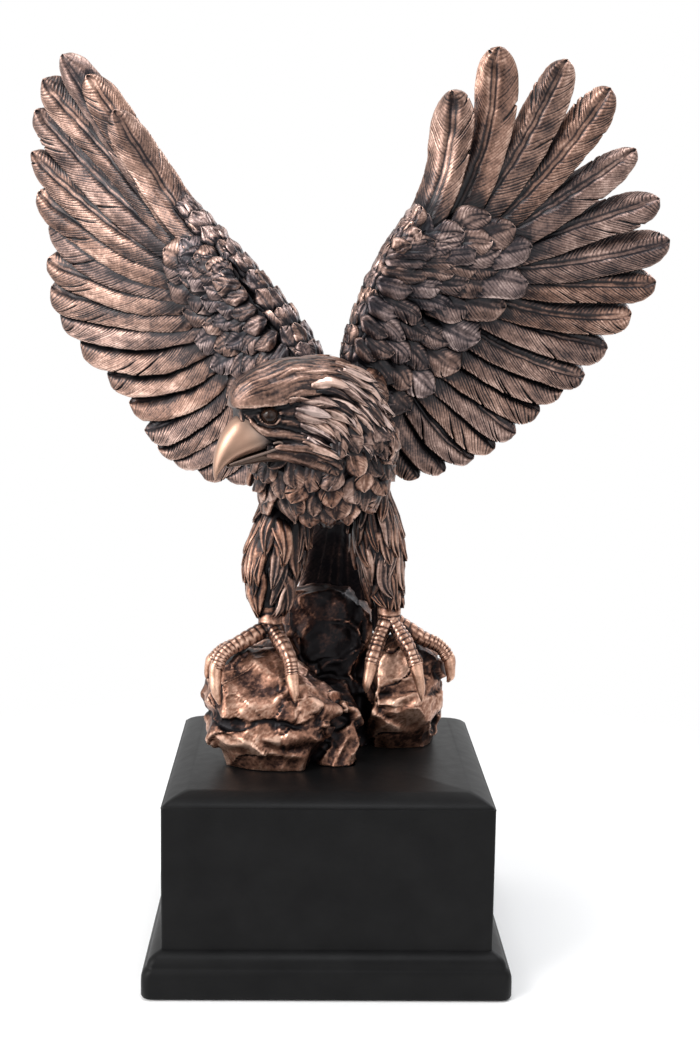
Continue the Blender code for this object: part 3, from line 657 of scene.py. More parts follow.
def head_form(carving):
    """The skull, the crown whose edge hangs over the eyes, and the cheeks, as overlapping shells."""
    skull = [(-27, -8, 11, 11), (-18, -3, 13.2, 14.2), (-8, 0, 13.0, 14.0), (0, 0, 11.4, 13.0),
             (7, -1, 8.8, 11.0), (13, -1.6, 6.6, 8.6), (18, -1.6, 5.2, 6.8), (21.5, 0, 4.2, 5.0)]
    angle = 2 * np.pi * np.arange(40) / 40
    across, rise = np.cos(angle), np.sin(angle)
    rings = np.array([head_point(f, u) + HEAD_LEFT * (w * across)[:, None] + UP * (h * rise)[:, None]
                      for f, u, w, h in curve(skull, 60)])
    carving.loft(rings)
    crown = [(23.8, 6.0, 3.2, 1.2), (22.8, 8.0, 1.6, 3.8), (20.4, 10.6, 1.6, 5.9), (16.8, 13.0, 1.9, 7.9),
             (12.8, 14.9, 2.4, 9.3), (8.8, 16.1, 3.3, 10.2), (5, 16.7, 4.8, 11.0), (0, 17.1, 5.6, 12.0),
             (-6, 17.6, 6, 13), (-13, 16, 3.5, 13.4), (-20, 12.0, 0, 12.8)]
    angle = np.pi * np.arange(33) / 32
    under = np.linspace(-0.86, 0.86, 9)
    across = np.concatenate([np.cos(angle), under])
    rise = np.concatenate([np.sin(angle) ** 0.92, -0.03 + 0 * under])
    rings = np.array([
        head_point(f, edge) + HEAD_LEFT * (w * across)[:, None] + UP * ((top - edge) * rise)[:, None]
        for f, top, edge, w in curve(crown, 70)
    ])
    carving.loft(rings)
    cheek = [(11.6, -10.2, 7.2, 0.8, 0.9), (7.2, -10.5, 8.8, 1.2, 1.3), (2.6, -10.8, 10.2, 1.4, 1.5),
             (-1.4, -11.8, 11.1, 1.4, 1.5), (-5.3, -14.2, 11.6, 1.3, 1.4), (-9.6, -17.6, 12.0, 0.8, 0.8)]
    lore = [(18.5, -2.6, 3.4, 1.6, 2.6), (15.8, -4.8, 4.6, 2.0, 2.6), (12.2, -6.4, 6.0, 2.2, 2.2),
            (7.5, -6.6, 7.6, 2.2, 2.2), (2.5, -7.6, 8.8, 2.4, 2.4), (-3, -9, 9.6, 1.6, 1.6)]
    throat = [(13, -11.5, 3.6, 2.6, 2.0), (6, -12.2, 5.6, 3.4, 2.4), (-2, -13.6, 7.4, 4.4, 3.0),
              (-10, -17, 8, 5, 3.4)]
    for side in (1, -1):
        for rows, count in ((cheek, 40), (lore, 30), (throat, 24)):
            tube(carving, in_head(rows, side), UP, count, 16)


def stroke(points, normals, relief, path, width, depth, shade):
    """Cuts a groove along a path, or raises a ridge where depth is under 0, and shades it."""
    track = curve(path, 24)[:, :3]
    near = np.full(len(points), 1e9)
    for place in track:
        near = np.minimum(near, ((points - place) ** 2).sum(1))
    amount = np.exp(-near / width ** 2)
    points -= normals * (depth * amount)[:, None]
    relief += shade * amount


# The eye's middle in head units, and the lid and wrinkles round it: reach forward and up, first and last
# angle, then the stroke's width, depth and shade
EYE = (13.0, -0.6, 6.3)
EYE_RADIUS = 2.6
EYE_RINGS = (
    (3.3, 3.0, -195, 15, 0.5, -0.8, 0.4),
    (4.4, 4.0, -170, -10, 0.45, 0.5, -0.45),
    (5.6, 5.2, -150, -30, 0.45, 0.4, -0.3),
)


def ring_path(radius_forward, radius_up, start, end, side):
    """Part of an oval round the eye, on the side of the head."""
    f, u, w = EYE
    rows = []
    for angle in np.radians(np.linspace(start, end, 9)):
        forward = math.cos(angle) * radius_forward
        rows.append((f + forward, u + math.sin(angle) * radius_up, w - 0.25 * forward))
    return in_head(rows, side)


def sculpt_face(points, normals, relief):
    """The brow's worn edge and the slit under it, darkened as a painted shadow of the brow, the cere,
    nostril, lids and wrinkles, and painted shade in a dip round the eye, on both sides.
    """
    brow = [(22.6, 1.5, 4.2), (20.2, 1.4, 6.1), (16.8, 1.8, 8.0), (12.8, 2.3, 9.4), (8.8, 3.2, 10.3),
            (5.0, 4.8, 11.0)]
    slit = [(21.8, 0.3, 4.2), (19.6, 0.4, 5.2), (16.4, 0.8, 6.2), (12.8, 1.3, 7.6), (9.4, 2.1, 8.6),
            (6.0, 3.6, 9.8)]
    cere = [(22.6, 0.6, 3.6), (20.6, -1.6, 4.6), (18.9, -4, 5.4), (16.9, -6.6, 6.0), (14.2, -8.4, 6.6),
            (11.2, -9.3, 7.4)]
    strokes = [
        (brow, 0.7, -0.35, 0.45),
        # The slit under the brow is cut in and darkened: painted shadow of the brow.
        (slit, 0.9, 0.7, -0.7),
        (cere, 0.75, 1.2, -0.8),
        ([(f - 1.3, u - 0.5, w + 0.3) for f, u, w in cere], 0.7, -0.35, 0.3),
        ([(16.8, -1.2, 6.2), (16.2, -3.8, 6.2), (14.0, -5.4, 6.8), (10.6, -5.6, 7.8)], 0.6, 0.5, -0.3),
        ([(15.6, -5.6, 6.6), (12.4, -7.2, 7.4), (8.6, -7.4, 8.8)], 0.55, 0.5, -0.3),
        ([(13.2, -8.0, 7.0), (10.4, -8.6, 7.8), (7.0, -8.6, 8.8), (3.0, -8.9, 9.8)], 0.6, 0.6, -0.35),
        ([(10.0, -1.0, 7.9), (7.0, -1.6, 9.0), (3.6, -2.6, 10.4)], 0.8, 0.9, -0.5),
        ([(9.6, -3.8, 8.2), (6.4, -4.6, 9.4), (2.4, -5.8, 10.6), (-1.4, -7.6, 11.4)], 0.7, 0.7, -0.4),
    ]
    f, u, w = head_place(points)
    relief += 0.35 * np.exp(-((f - 14) / 4.5) ** 2 - ((u + 5) / 3.5) ** 2)
    for side in (1, -1):
        for rows, width, depth, shade in strokes:
            stroke(points, normals, relief, in_head(rows, side), width, depth, shade)
        # A dip round the eye, darkened: painted shade under the brow.
        stroke(points, normals, relief, in_head([EYE, EYE], side), 3.0, 0.8, -0.5)
        for reach, height, start, end, width, depth, shade in EYE_RINGS:
            path = ring_path(reach, height, start, end, side)
            stroke(points, normals, relief, path, width, depth, shade)


def streaks(points, relief, depth):
    """Fine streaks that run back over the head, as a height for each point."""
    f, u, w = head_place(points)
    angle = np.arctan2(w, u + 4)
    heights = np.zeros(len(points))
    for k in range(len(points)):
        flow = Vector((f[k] / 10, angle[k] * 17 + 0.7 * math.sin(f[k] * 0.35), 3.1))
        heights[k] = noise.noise(flow) + 0.5 * noise.noise(flow * 2.1)
    keep = smooth(2.5, 5.0, u + np.clip(f, -99, 12) * -0.05) * smooth(25, 21, f)
    keep = np.maximum(keep, smooth(9, 4, f)) * (1 - 0.7 * smooth(-8, -11, u) * smooth(-2, 4, f))
    return heights * depth * keep, relief + heights * 0.35 * keep - 0.14 * smooth(6, 10, u)


def beak_form(carving):
    """The hooked upper beak, as sections from its root to its tip. Each has its point on the culmen, its
    point on the cutting edge and its half width."""
    sections = [
        (15.0, 1.6, 9.0, -11.3, 5.4), (18.5, 0.8, 11.5, -11.4, 5.9), (20.8, -0.7, 14.0, -12.1, 5.9),
        (22.8, -2.3, 17.0, -12.9, 5.6), (24.6, -4.5, 19.8, -13.7, 5.0), (26.3, -7.0, 22.2, -14.6, 4.3),
        (27.6, -10.0, 24.2, -15.7, 3.5), (28.6, -13.5, 25.9, -17.0, 2.6), (29.0, -16.6, 27.1, -18.5, 1.8),
        (28.9, -19.0, 27.9, -19.8, 1.0), (28.5, -20.8, 28.2, -20.9, 0.35),
    ]
    count = 64
    angle = 2 * np.pi * np.arange(36) / 36
    across, upward = np.sin(angle), np.cos(angle)
    across = np.sign(across) * np.abs(across) ** 0.82 * (1 - 0.16 * upward)
    rings = []
    for top_f, top_u, low_f, low_u, half in curve(sections, count):
        top, low = head_point(top_f, top_u), head_point(low_f, low_u)
        ring = (top + low) / 2 + (top - low) / 2 * upward[:, None]
        rings.append(ring + HEAD_LEFT * (half * across)[:, None])
    tone = smooth(4, 24, np.arange(count))[:, None]
    # The bottom row along the cutting edge is dark: painted shade where the upper beak overhangs the lower.
    carving.loft(np.array(rings), np.where(upward < -0.93, 0.1, 0.95), tone)


def beak_edges(carving):
    """The lower beak, the rolled edge of the mouth and its corner."""
    lower = [(2, -13.8, 4.6, 2.2), (8, -13.6, 4.4, 2.2), (13, -13.9, 3.9, 1.9), (18, -14.9, 3.0, 1.5),
             (22, -15.9, 1.9, 1.0), (24.6, -16.8, 0.8, 0.5)]
    # The lower beak gets a low number, so it is darkened: painted shade under the hook.
    tube(carving, [(*head_point(f, u), w, h) for f, u, w, h in lower], HEAD_LEFT, 30, 18, 0.25, 0.4)
    edge = [(24.8, -15.9, 2.9, 0.2, 0.25), (21.0, -14.5, 4.4, 0.3, 0.4), (16.4, -13.0, 5.6, 0.35, 0.45),
            (13.0, -11.8, 6.5, 0.4, 0.45), (10.4, -10.6, 7.5, 0.5, 0.5), (9.4, -9.6, 8.0, 0.5, 0.5),
            (10.2, -8.9, 7.9, 0.45, 0.45), (12.0, -9.3, 7.2, 0.35, 0.35)]
    for side in (1, -1):
        tube(carving, in_head(edge, side), HEAD_LEFT, 70, 10, 0.75, 0.2)


def eye_form(carving):
    """A round eyeball on each side."""
    f, u, w = EYE
    path = [(f, u, w + EYE_RADIUS * math.cos(t), EYE_RADIUS * math.sin(t), EYE_RADIUS * math.sin(t))
            for t in np.linspace(0.06, math.pi - 0.06, 15)]
    for side in (1, -1):
        tube(carving, in_head(path, side), UP, 15, 24, 0.5, 0.5)


def head_flow(point):
    """The way that the feathers of the head lie: back, and further back also down."""
    f, u, _ = head_place(point)
    down = 0.10 + 1.15 * smooth(4, -26, f) + 0.45 * smooth(4, -10, u)
    return -HEAD_FORWARD - UP * down


def head_locks(carving, surface):
    """Locks that run back from behind the eye over the cheek, crown and nape, in overlapping rows. They
    end in round feathers at the foot of the nape."""
    chance = np.random.default_rng(SEED + 2)
    rows, around = 10, 25
    for row in range(rows):
        forward = 9 - 36 * row / (rows - 1)
        for k in range(around):
            swing = math.radians(-130 + 260 * (k + 0.5 * (row % 2) + chance.uniform(-0.2, 0.2)) / around)
            out = HEAD_LEFT * math.sin(swing) + UP * math.cos(swing)
            start = head_point(forward + chance.uniform(-1.5, 1.5), -1) + out * 30
            place = surface.ray_cast(start, -out)[0]
            if place is None:
                continue
            f, u, _ = head_place(place)
            forehead = u > 6 and f > 3 + 3 * chance.random()
            face = u > -3 and f > 8.5 or u < -3 and f > 15 + 1.2 * u or f > 9
            throat = u < -9.5 - 0.35 * (f + 2) and f > -10
            if forehead or face or throat:
                continue
            crown = smooth(9, 14, u) * smooth(-10, -2, f)
            nape = smooth(-5, -16, u + 0.35 * f) * (u < 2)
            if chance.random() < nape:
                length, lift = chance.uniform(9, 11.5), chance.uniform(1.4, 2.4)
                track, normals = laid(surface, place, head_flow, length, 0.7, lift)
                feather(carving, track, normals, chance.uniform(6.4, 8.2), 2.6, SCALE, chance,
                        chance.uniform(-0.25, 0.25), chance.uniform(0.3, 0.6))
                continue
            length = chance.uniform(11, 16)
            width = chance.uniform(3.0, 4.6) * (1 - 0.25 * crown)
            lift = chance.uniform(0.8, 2.8) * (1 - 0.75 * crown)
            track, normals = laid(surface, place, head_flow, length, 0.6, lift)
            # Outside the crown most locks are made much brighter, painted light on the side of the face, and
            # one in five darker, painted shade between the locks.
            carving.shade = (chance.uniform(0.35, 0.75) if chance.random() < 0.8 else -0.3) * (1 - crown)
            lock(carving, track, normals, width, 1.9 - 0.9 * crown, chance, 1,
                 chance.uniform(0.1, 0.5) + 0.4 * crown, chance.uniform(-1.4, 1.4))
            carving.shade = 0.0


def plumage(carving, surface, top, bottom, rows, around, length, width, lift, chance,
            droop=(0, 0, 0), keep=None, look=SCALE, pointed=False, ruffled=False):
    """Overlapping feathers laid on a surface in rows round an axis, from its top to its bottom. They are
    locks where pointed, and stand up unevenly where ruffled."""
    top, bottom = np.array(top, float), np.array(bottom, float)
    axis = unit(bottom - top)
    across = unit(np.cross(axis, (0, 1, 0) if abs(axis[1]) < 0.9 else (0, 0, 1)))
    ahead = unit(np.cross(axis, across))
    flow = unit(axis + np.array(droop))
    for row in range(rows):
        centre = top + (bottom - top) * row / max(rows - 1, 1)
        for k in range(around):
            angle = 2 * math.pi * (k + 0.5 * (row % 2) + 0.25 + chance.uniform(-0.12, 0.12)) / around
            outward = across * math.cos(angle) + ahead * math.sin(angle)
            place = surface.ray_cast(centre + outward * 60, -outward)[0]
            if place is None or (keep and not keep(place)):
                continue
            size = chance.uniform(0.92, 1.1)
            way = unit(flow + chance.normal(size=3) * (0.2 if pointed or ruffled else 0.05))
            start = np.array(place) - flow * length * 0.35
            rise = lift * chance.uniform(0.6, 1.4)
            track, normals = laid(surface, start, lambda spot: way, length * size, 0.8, rise)
            carving.shade = chance.uniform(-0.15, 0.12)
            if pointed:
                lock(carving, track, normals, width * chance.uniform(0.7, 1.25), 3.8, chance, 2,
                     chance.uniform(0.4, 0.9), chance.uniform(-3, 3), blunt=0.10, power=1.6, fray=0.08)
            else:
                swing = 0.35 if ruffled else 0.2
                feather(carving, track, normals, width * size, 3.0 if ruffled else 2.2, look, chance,
                        chance.uniform(-swing, swing), chance.uniform(0.4, 0.8))
            carving.shade = 0.0


def coat(body, head):
    """The feathers of the throat and breast, the back, the belly and the shoulders."""
    carving = Carving()
    chance = np.random.default_rng(SEED + 3)

    def clear_of_head(place):
        spot, normal, _, _ = head.find_nearest(place)
        return (place - spot).dot(normal) > -1.0

    def on_neck(place):
        return clear_of_head(place) and place.z < 119

    def on_breast(place):
        return place.y < 4 and clear_of_head(place)

    def on_back(place):
        return place.y > -4

    def on_shoulders(place):
        return place.z > 115 and clear_of_head(place)

    def on_belly(place):
        return place.y < 12

    plumage(carving, body, (-3, -18, 121), (-3, -14, 108), 4, 18, 10, 7.4, 2.4, chance,
            keep=on_neck, ruffled=True)
    plumage(carving, body, (-3, -16, 105), (-3, -13, 93), 4, 16, 10, 8.2, 2.8, chance,
            keep=on_breast, ruffled=True)
    plumage(carving, body, (-2, -2, 118), (6, 34, 86), 7, 14, 13, 9.8, 1.8, chance,
            (0, 0.2, -0.2), on_back, COVERT)
    plumage(carving, body, (-3, -10, 88), (0, 6, 84), 3, 14, 9, 7.0, 1.0, chance,
            (0, 0.3, 0), on_belly, ruffled=True)
    plumage(carving, body, (-3, -19, 112), (-3, 2, 110), 5, 18, 11, 7.6, 1.0, chance, keep=on_shoulders)
    return carving


def trousers(thighs):
    """The long locks of both thighs."""
    carving = Carving()
    chance = np.random.default_rng(SEED + 5)
    for top, bottom, length, width in (
        ((-14, -1, 88), (-20, -10, 59), 18, 7.2),
        ((13, 5, 88), (17.6, 1, 60), 17, 7.0),
    ):
        plumage(carving, thighs, top, bottom, 7, 9, length, width, 1.6, chance, (0, 0.05, 0), pointed=True)
    return carving


def tail(carving):
    """A fan of tail feathers, down and back from the rump."""
    # The tail's underside, seen between the legs, gets strong painted shade.
    look = dict(FLIGHT, under_shade=0.5, pitch=2.2)
    chance = np.random.default_rng(SEED + 4)
    count = 7
    for k in range(count):
        spread = (k - (count - 1) / 2) / ((count - 1) / 2)
        root = np.array((6 + 5 * spread, 33, 90 - 1.5 * abs(spread)))
        tip = np.array((8 + 16 * spread, 53 - 4 * spread ** 2, 29 + 5 * spread ** 2))
        facing = unit((0.12 * spread, 0.93, 0.36))
        track, normals = arched(root, tip, facing, 0.03)
        feather(carving, track, normals, 11.5, 3.4, look, chance, math.radians(10) * spread, 0.4)


# Each toe is its knuckles and the tip of its claw
RIGHT_TOES = [
    ([(-20.5, -13.5, 45.5), (-28, -19, 42.5), (-34.5, -23.5, 39), (-36.8, -25.5, 34.5)], (-35.6, -28, 23)),
    ([(-19.5, -14, 45.5), (-15.5, -20, 41.5), (-12.8, -24.5, 36.5), (-12.2, -26, 32.5)], (-11.2, -28.5, 24)),
    ([(-21, -12, 45), (-28.5, -12, 40.5), (-35, -11, 37.5), (-38.8, -10.5, 34)], (-39, -11, 26)),
    ([(-19.5, -10, 45.5), (-18, -2, 43), (-17, 5, 38)], (-17, 7, 30)),
]
LEFT_TOES = [
    ([(19.5, -1, 46), (16.3, -6, 39), (14.2, -9, 32.5)], (12.6, -10.5, 23)),
    ([(21.5, -1, 45.5), (26.3, -6, 38.5), (29.2, -9, 32)], (31.4, -10, 20)),
    ([(22, 0, 46), (31, 1, 40), (38, 1, 36.5), (41, 0, 32.5)], (40.6, -1, 24.5)),
    ([(20.5, 3, 46), (20, 11, 43.5), (19.5, 17, 39)], (19.5, 19.5, 32)),
]
TOE_GIRTH = 2.45


def scutes(number):
    """Rounded plates across the top of a toe, as its swelling along and round it."""
    def swell(share, angle):
        place = number * share + 0.35 * np.sin(9 * share + number)
        plate = np.abs(np.sin(np.pi * place)) ** 0.6
        beads = np.abs(np.sin(np.pi * (place + 0.5)) * np.sin(4 * angle + number)) ** 0.7
        bare = smooth(-0.5, 0.4, np.sin(angle))
        return 1 + (0.15 * plate - 0.08) * bare + (0.16 * beads - 0.06) * (1 - 0.7 * bare)
    return swell


def digit(carving, knuckles, claw_tip):
    """A toe along its knuckles, with the claw that grips the rock at its end."""
    knuckles = [np.array(p, float) for p in knuckles]
    hint = np.cross(knuckles[-1] - knuckles[0], UP)
    length = sum(np.linalg.norm(b - a) for a, b in zip(knuckles, knuckles[1:]))
    girths = [TOE_GIRTH * (1.08 - 0.07 * i) for i in range(len(knuckles))]
    path = [(*p, girth, girth) for p, girth in zip(knuckles, girths)]
    number = max(round(length / 1.8), 4)
    tube(carving, path, hint, number * 6 + 1, 20, 0.45, 0.8, scutes(number))
    end, tip = knuckles[-1], np.array(claw_tip, float)
    outward = unit(end - knuckles[-2])
    claw = [
        (*(end - outward * 1.5), 2.0, 2.0),
        (*(end + outward * 0.6), 2.0, 2.1),
        (*((end + tip) / 2 + outward * 1.5), 1.5, 1.6),
        (*(end * 0.2 + tip * 0.8 + outward * 0.8), 0.85, 0.9),
        (*tip, 0.25, 0.3),
    ]
    tube(carving, claw, hint, 30, 16, 0.75, 1.0)


def feet(carving):
    """Four toes on each side, and the scaled leg above them."""
    for knuckles, claw_tip in RIGHT_TOES + LEFT_TOES:
        digit(carving, knuckles, claw_tip)
    for ankle in ([(-19.6, -11, 54, 4.4, 4.4), (-19.6, -12.5, 47, 3.8, 3.8), (-19.6, -13, 42, 4.2, 4.2)],
                  [(20.2, 1, 55, 4.2, 4.2), (20.4, 0.5, 48, 3.7, 3.7), (20.6, 0, 43, 4.2, 4.2)]):
        tube(carving, ankle, (1, 0, 0), 49, 26, 0.6, 0.8, scutes(6))


# Rocks as stacked levels: height, then the left, right, front and back of each level. The first two
# make the great boulder, whose split shows from the front.
ROCKS = [
    [(-4, -31, -5, -25, 2), (3, -37, -3, -28, 5), (9, -42, 3, -30, 6), (13, -43, 5, -29.5, 6),
     (16.4, -41, 3.5, -27.6, 5)],
    [(15, -41, 4, -27, 5), (18.5, -44, 6.5, -29, 6), (23, -43.5, 4.5, -27, 6), (28, -42, -4, -25, 5),
     (34, -36, -11, -20, 3), (38, -30, -15, -14, -2)],
    [(-4, -6, 11, -20, 0), (6, -8, 12, -20, 2), (16, -8, 10, -15, 4), (24, -6, 7, -8, 6)],
    [(-4, 12, 37, 4, 30), (3, 10, 40.5, 3, 31), (12, 9, 41.5, -5, 30), (17, 10, 41.5, -7, 29),
     (24, 12, 41.5, -4, 27), (32, 15, 39, -1, 22), (38, 20, 33, 3, 16)],
    [(-4, -34, -6, -4, 24), (14, -36, -4, -4, 24), (30, -34, -8, -4, 20), (38, -26, -12, -2, 12)],
    [(-4, -18, 20, 0, 34), (18, -17, 18, 0, 34), (34, -17, 17, 2, 31), (46, -19, 16, 4, 27),
     (54, -15, 8, 8, 22)],
    [(-4, -16, 34, 18, 44), (12, -14, 32, 18, 43), (26, -8, 24, 20, 38), (32, -2, 16, 22, 32)],
]
ROCK_SIDES = 7
ROCK_SEED = 7
CHIP_SEED = 4
CHIP_SIZE = 15


def hull(carving, cloud):
    """Adds the convex hull of a cloud of points."""
    bm = bmesh.new()
    for p in cloud:
        bm.verts.new(p)
    bmesh.ops.convex_hull(bm, input=bm.verts)
    bmesh.ops.delete(bm, geom=[v for v in bm.verts if not v.link_faces], context="VERTS")
    bm.verts.index_update()
    first = carving.add_points(np.array([tuple(v.co) for v in bm.verts]), 0.5, 0.5)
    carving.caps.extend(np.array([first + v.index for v in f.verts]) for f in bm.faces)
    bm.free()


def rock_form(carving):
    """Hewn rocks, each the hull of its levels. They run below the plinth's top, where they are cut flat."""
    chance = random.Random(ROCK_SEED)
    for levels in ROCKS:
        cloud = []
        for number, (height, left, right, front, back) in enumerate(levels):
            twist = math.pi / ROCK_SIDES * number + chance.uniform(-0.15, 0.15)
            for k in range(ROCK_SIDES):
                angle = 2 * math.pi * k / ROCK_SIDES + twist
                reach = chance.uniform(0.90, 1.10)
                x, y = math.cos(angle) * reach, math.sin(angle) * reach
                flat = max(abs(x), abs(y), 0.84)
                cloud.append((
                    (left + right) / 2 + (right - left) / 2 * x / flat * 0.93,
                    (front + back) / 2 + (back - front) / 2 * y / flat * 0.93,
                    height + chance.uniform(-1.2, 1.2),
                ))
        hull(carving, cloud)


def rocks():
    """The rocks melted together, split into flat chips with cracks between them, and pitted."""
    noise.seed_set(CHIP_SEED)
    points, quads, normals = fused(carved(rock_form), ROCK_VOXEL, 1)
    relief = np.full(len(points), 0.5)
    for k in range(len(points)):
        p = Vector(points[k])
        gaps, cells = noise.voronoi(p / CHIP_SIZE + noise.noise_vector(p / 13) * 0.8)
        gap = gaps[1] - gaps[0]
        tilt = noise.noise_vector(cells[0] * 7.3) * smooth(0, 0.10, gap)
        chip = tilt.dot(p / CHIP_SIZE - cells[0]) * 4.5
        ragged = 15.6 + 0.9 * math.sin(p.x / 4) + 1.5 * noise.noise(p / 5)
        split = math.exp(-((p.z - ragged) / 0.55) ** 2) * smooth(-6, -14, p.x) * (p.y < 2)
        crack = max(1 - gap / 0.05, 0) * max(noise.noise(p / 9), 0) * 2
        small = noise.ridged_multi_fractal(p / 6, 0.8, 2.2, 4, 1.0, 2.0) - 1.1
        fold = abs(noise.noise(p / 13 + noise.noise_vector(p / 15)))
        rise = 0.8 * chip - 0.5 * crack - 0.8 * split - 2.4 * fold + 0.3 * small
        points[k] += normals[k] * (rise + 0.10 * noise.noise(p / 1.3))
        relief[k] = 0.74 + 0.55 * tilt.x + 0.30 * tilt.z - 0.3 * crack - 0.5 * split
        relief[k] += 0.13 * small - 0.55 * fold
    x, y = points[:, 0], points[:, 1]
    # Painted shade: the middle rock between the feet, under the belly, is darkened. The rocks are also made
    # darker towards the back.
    relief -= 0.34 * smooth(-10, -4, x) * smooth(15, 11, x) * smooth(-14, -6, y) + 0.2 * smooth(2, 14, y)
    points[:, 2] = np.maximum(points[:, 2], 0.0)
    carving = Carving()
    carving.skin(points, quads, np.clip(relief, 0, 1), 0.8)
    return carving


def feed(tree, target, source):
    """Links a node's socket to another one, or sets it to a number or a colour."""
    if isinstance(source, bpy.types.NodeSocket):
        tree.links.new(source, target)
    else:
        target.default_value = source


def node(tree, kind, **settings):
    """A new node with its settings and sockets by name."""
    made = tree.nodes.new(kind)
    for name, value in settings.items():
        if name in made.bl_rna.properties:
            setattr(made, name, value)
        else:
            feed(tree, made.inputs[name], value)
    return made


def maths(tree, operation, a, b):
    """A maths node of two numbers or sockets."""
    made = node(tree, "ShaderNodeMath", operation=operation)
    feed(tree, made.inputs[0], a)
    feed(tree, made.inputs[1], b)
    return made.outputs[0]


def weighted(tree, start, *parts):
    """A number plus each part's socket times its share."""
    total = start
    for value, share in parts:
        total = maths(tree, "ADD", total, maths(tree, "MULTIPLY", value, share))
    return total


def ramp(tree, value, stops):
    """A colour ramp read at a value. Each stop is a place and a linear colour."""
    made = tree.nodes.new("ShaderNodeValToRGB")
    elements = made.color_ramp.elements
    for number, (place, colour) in enumerate(stops):
        element = elements[number] if number < 2 else elements.new(place)
        element.position = place
        element.color = (*colour, 1)
    tree.links.new(value, made.inputs[0])
    return made.outputs[0]


def shader_of(name):
    """A new material, its node tree and its shader."""
    made = bpy.data.materials.new(name)
    made.use_nodes = True
    return made, made.node_tree, made.node_tree.nodes["Principled BSDF"]


def dress(tree, shader, settings):
    """Sets or links a shader's sockets by name."""
    for name, source in settings.items():
        feed(tree, shader.inputs[name], source)


def attribute(tree, name):
    return node(tree, "ShaderNodeAttribute", attribute_name=name).outputs["Fac"]


def grain(tree, spacing, detail=3.0):
    """Noise with features about this many metres apart."""
    place = node(tree, "ShaderNodeTexCoord").outputs["Object"]
    return node(tree, "ShaderNodeTexNoise", Scale=1 / spacing, Detail=detail, Vector=place).outputs[0]


def bumped(tree, spacing, detail, strength, distance):
    """The surface's normal with a fine grain in it."""
    height = grain(tree, spacing, detail)
    return node(tree, "ShaderNodeBump", Strength=strength, Distance=distance, Height=height).outputs[0]


# Copper finishes from silvery to warm: the colours in the hollows and in painted shade, on the way up, half
# worn and worn bright
COPPERS = (
    ((0.006, 0.006, 0.010), (0.030, 0.023, 0.028), (0.20, 0.145, 0.14), (0.72, 0.56, 0.52)),
    ((0.007, 0.006, 0.008), (0.036, 0.022, 0.021), (0.26, 0.150, 0.112), (0.78, 0.53, 0.43)),
    ((0.007, 0.005, 0.006), (0.050, 0.020, 0.014), (0.36, 0.165, 0.100), (0.86, 0.54, 0.39)),
)


def mixed(tree, share, one, other):
    """A colour between two others, which is the first where the share is 0."""
    made = node(tree, "ShaderNodeMix", data_type="RGBA", clamp_factor=True)
    for number, source in ((0, share), (6, one), (7, other)):
        feed(tree, made.inputs[number], source)
    return made.outputs[2]


def antique_copper(name, bias=0.0, coat=0.35):
    """Copper plating, worn bright where it stands out and dark with patina in the hollows; it is also
    darkened as painted shade where points are closed in, under or between parts.
    """
    made, tree, shader = shader_of(name)
    opened, relief, tone, edge = (attribute(tree, label) for label in ("open", "relief", "tone", "edge"))
    # Wear of the plating together with painted shade: high where open, raised and on sharp edges, low in
    # hollows with patina and where shade is painted under and between parts.
    wear_and_shade = weighted(tree, bias - 1.475, (opened, 0.95), (relief, 0.80), (edge, 0.9),
                      (grain(tree, 0.006), 0.75), (grain(tree, 0.0009), 0.5))
    wear_and_shade.node.use_clamp = True
    cool, plain, warm = (ramp(tree, wear_and_shade, [(0.0, low), (1.0, high), (0.30, rising), (0.62, half)])
                         for low, rising, half, high in COPPERS)
    double = maths(tree, "MULTIPLY", tone, 2.0)
    colour = mixed(tree, double, cool, plain)
    dress(tree, shader, {
        "Base Color": mixed(tree, maths(tree, "SUBTRACT", double, 1.0), colour, warm),
        "Roughness": weighted(tree, 0.42, (grain(tree, 0.003), 0.16), (wear_and_shade, -0.16)),
        "Metallic": 0.86,
        "Coat Weight": coat,
        "Coat Roughness": 0.25,
        "Normal": bumped(tree, 0.0007, 4.0, 0.4, 0.00012),
    })
    return made


def beak_finish():
    """Smooth copper gilt that turns to grey by the cere, and to near black where its number is low: painted
    shade along the cutting edge and on the lower beak.
    """
    made, tree, shader = shader_of("beak copper")
    stops = [(0.0, (0.22, 0.18, 0.17)), (1.0, (0.50, 0.31, 0.225)), (0.45, (0.42, 0.285, 0.22))]
    gilt = ramp(tree, attribute(tree, "tone"), stops)
    dress(tree, shader, {
        "Base Color": mixed(tree, attribute(tree, "relief"), (0.02, 0.012, 0.01, 1), gilt),
        "Roughness": weighted(tree, 0.30, (grain(tree, 0.002), 0.16)),
        "Metallic": 0.85,
        "Normal": bumped(tree, 0.0006, 3.0, 0.15, 0.0001),
    })
    return made


def eye_finish():
    """Dark lacquer with a soft shine."""
    made, tree, shader = shader_of("eye lacquer")
    stops = [(0.3, (0.010, 0.006, 0.005)), (0.8, (0.045, 0.020, 0.012))]
    dress(tree, shader, {
        "Base Color": ramp(tree, grain(tree, 0.002), stops),
        "Roughness": 0.16,
        "Specular IOR Level": 0.2,
        "Coat Weight": 0.25,
        "Coat Roughness": 0.05,
    })
    return made


def black_paint():
    """Black satin paint with a faint sprayed texture."""
    made, tree, shader = shader_of("black satin paint")
    stops = [(0.3, (0.004, 0.004, 0.0043)), (0.75, (0.007, 0.007, 0.0073))]
    dress(tree, shader, {
        "Base Color": ramp(tree, grain(tree, 0.012), stops),
        "Roughness": weighted(tree, 0.36, (grain(tree, 0.004), 0.12)),
        "Specular IOR Level": 0.12,
        "Normal": bumped(tree, 0.0009, 2.0, 0.12, 0.0002),
    })
    return made


PIECES = []


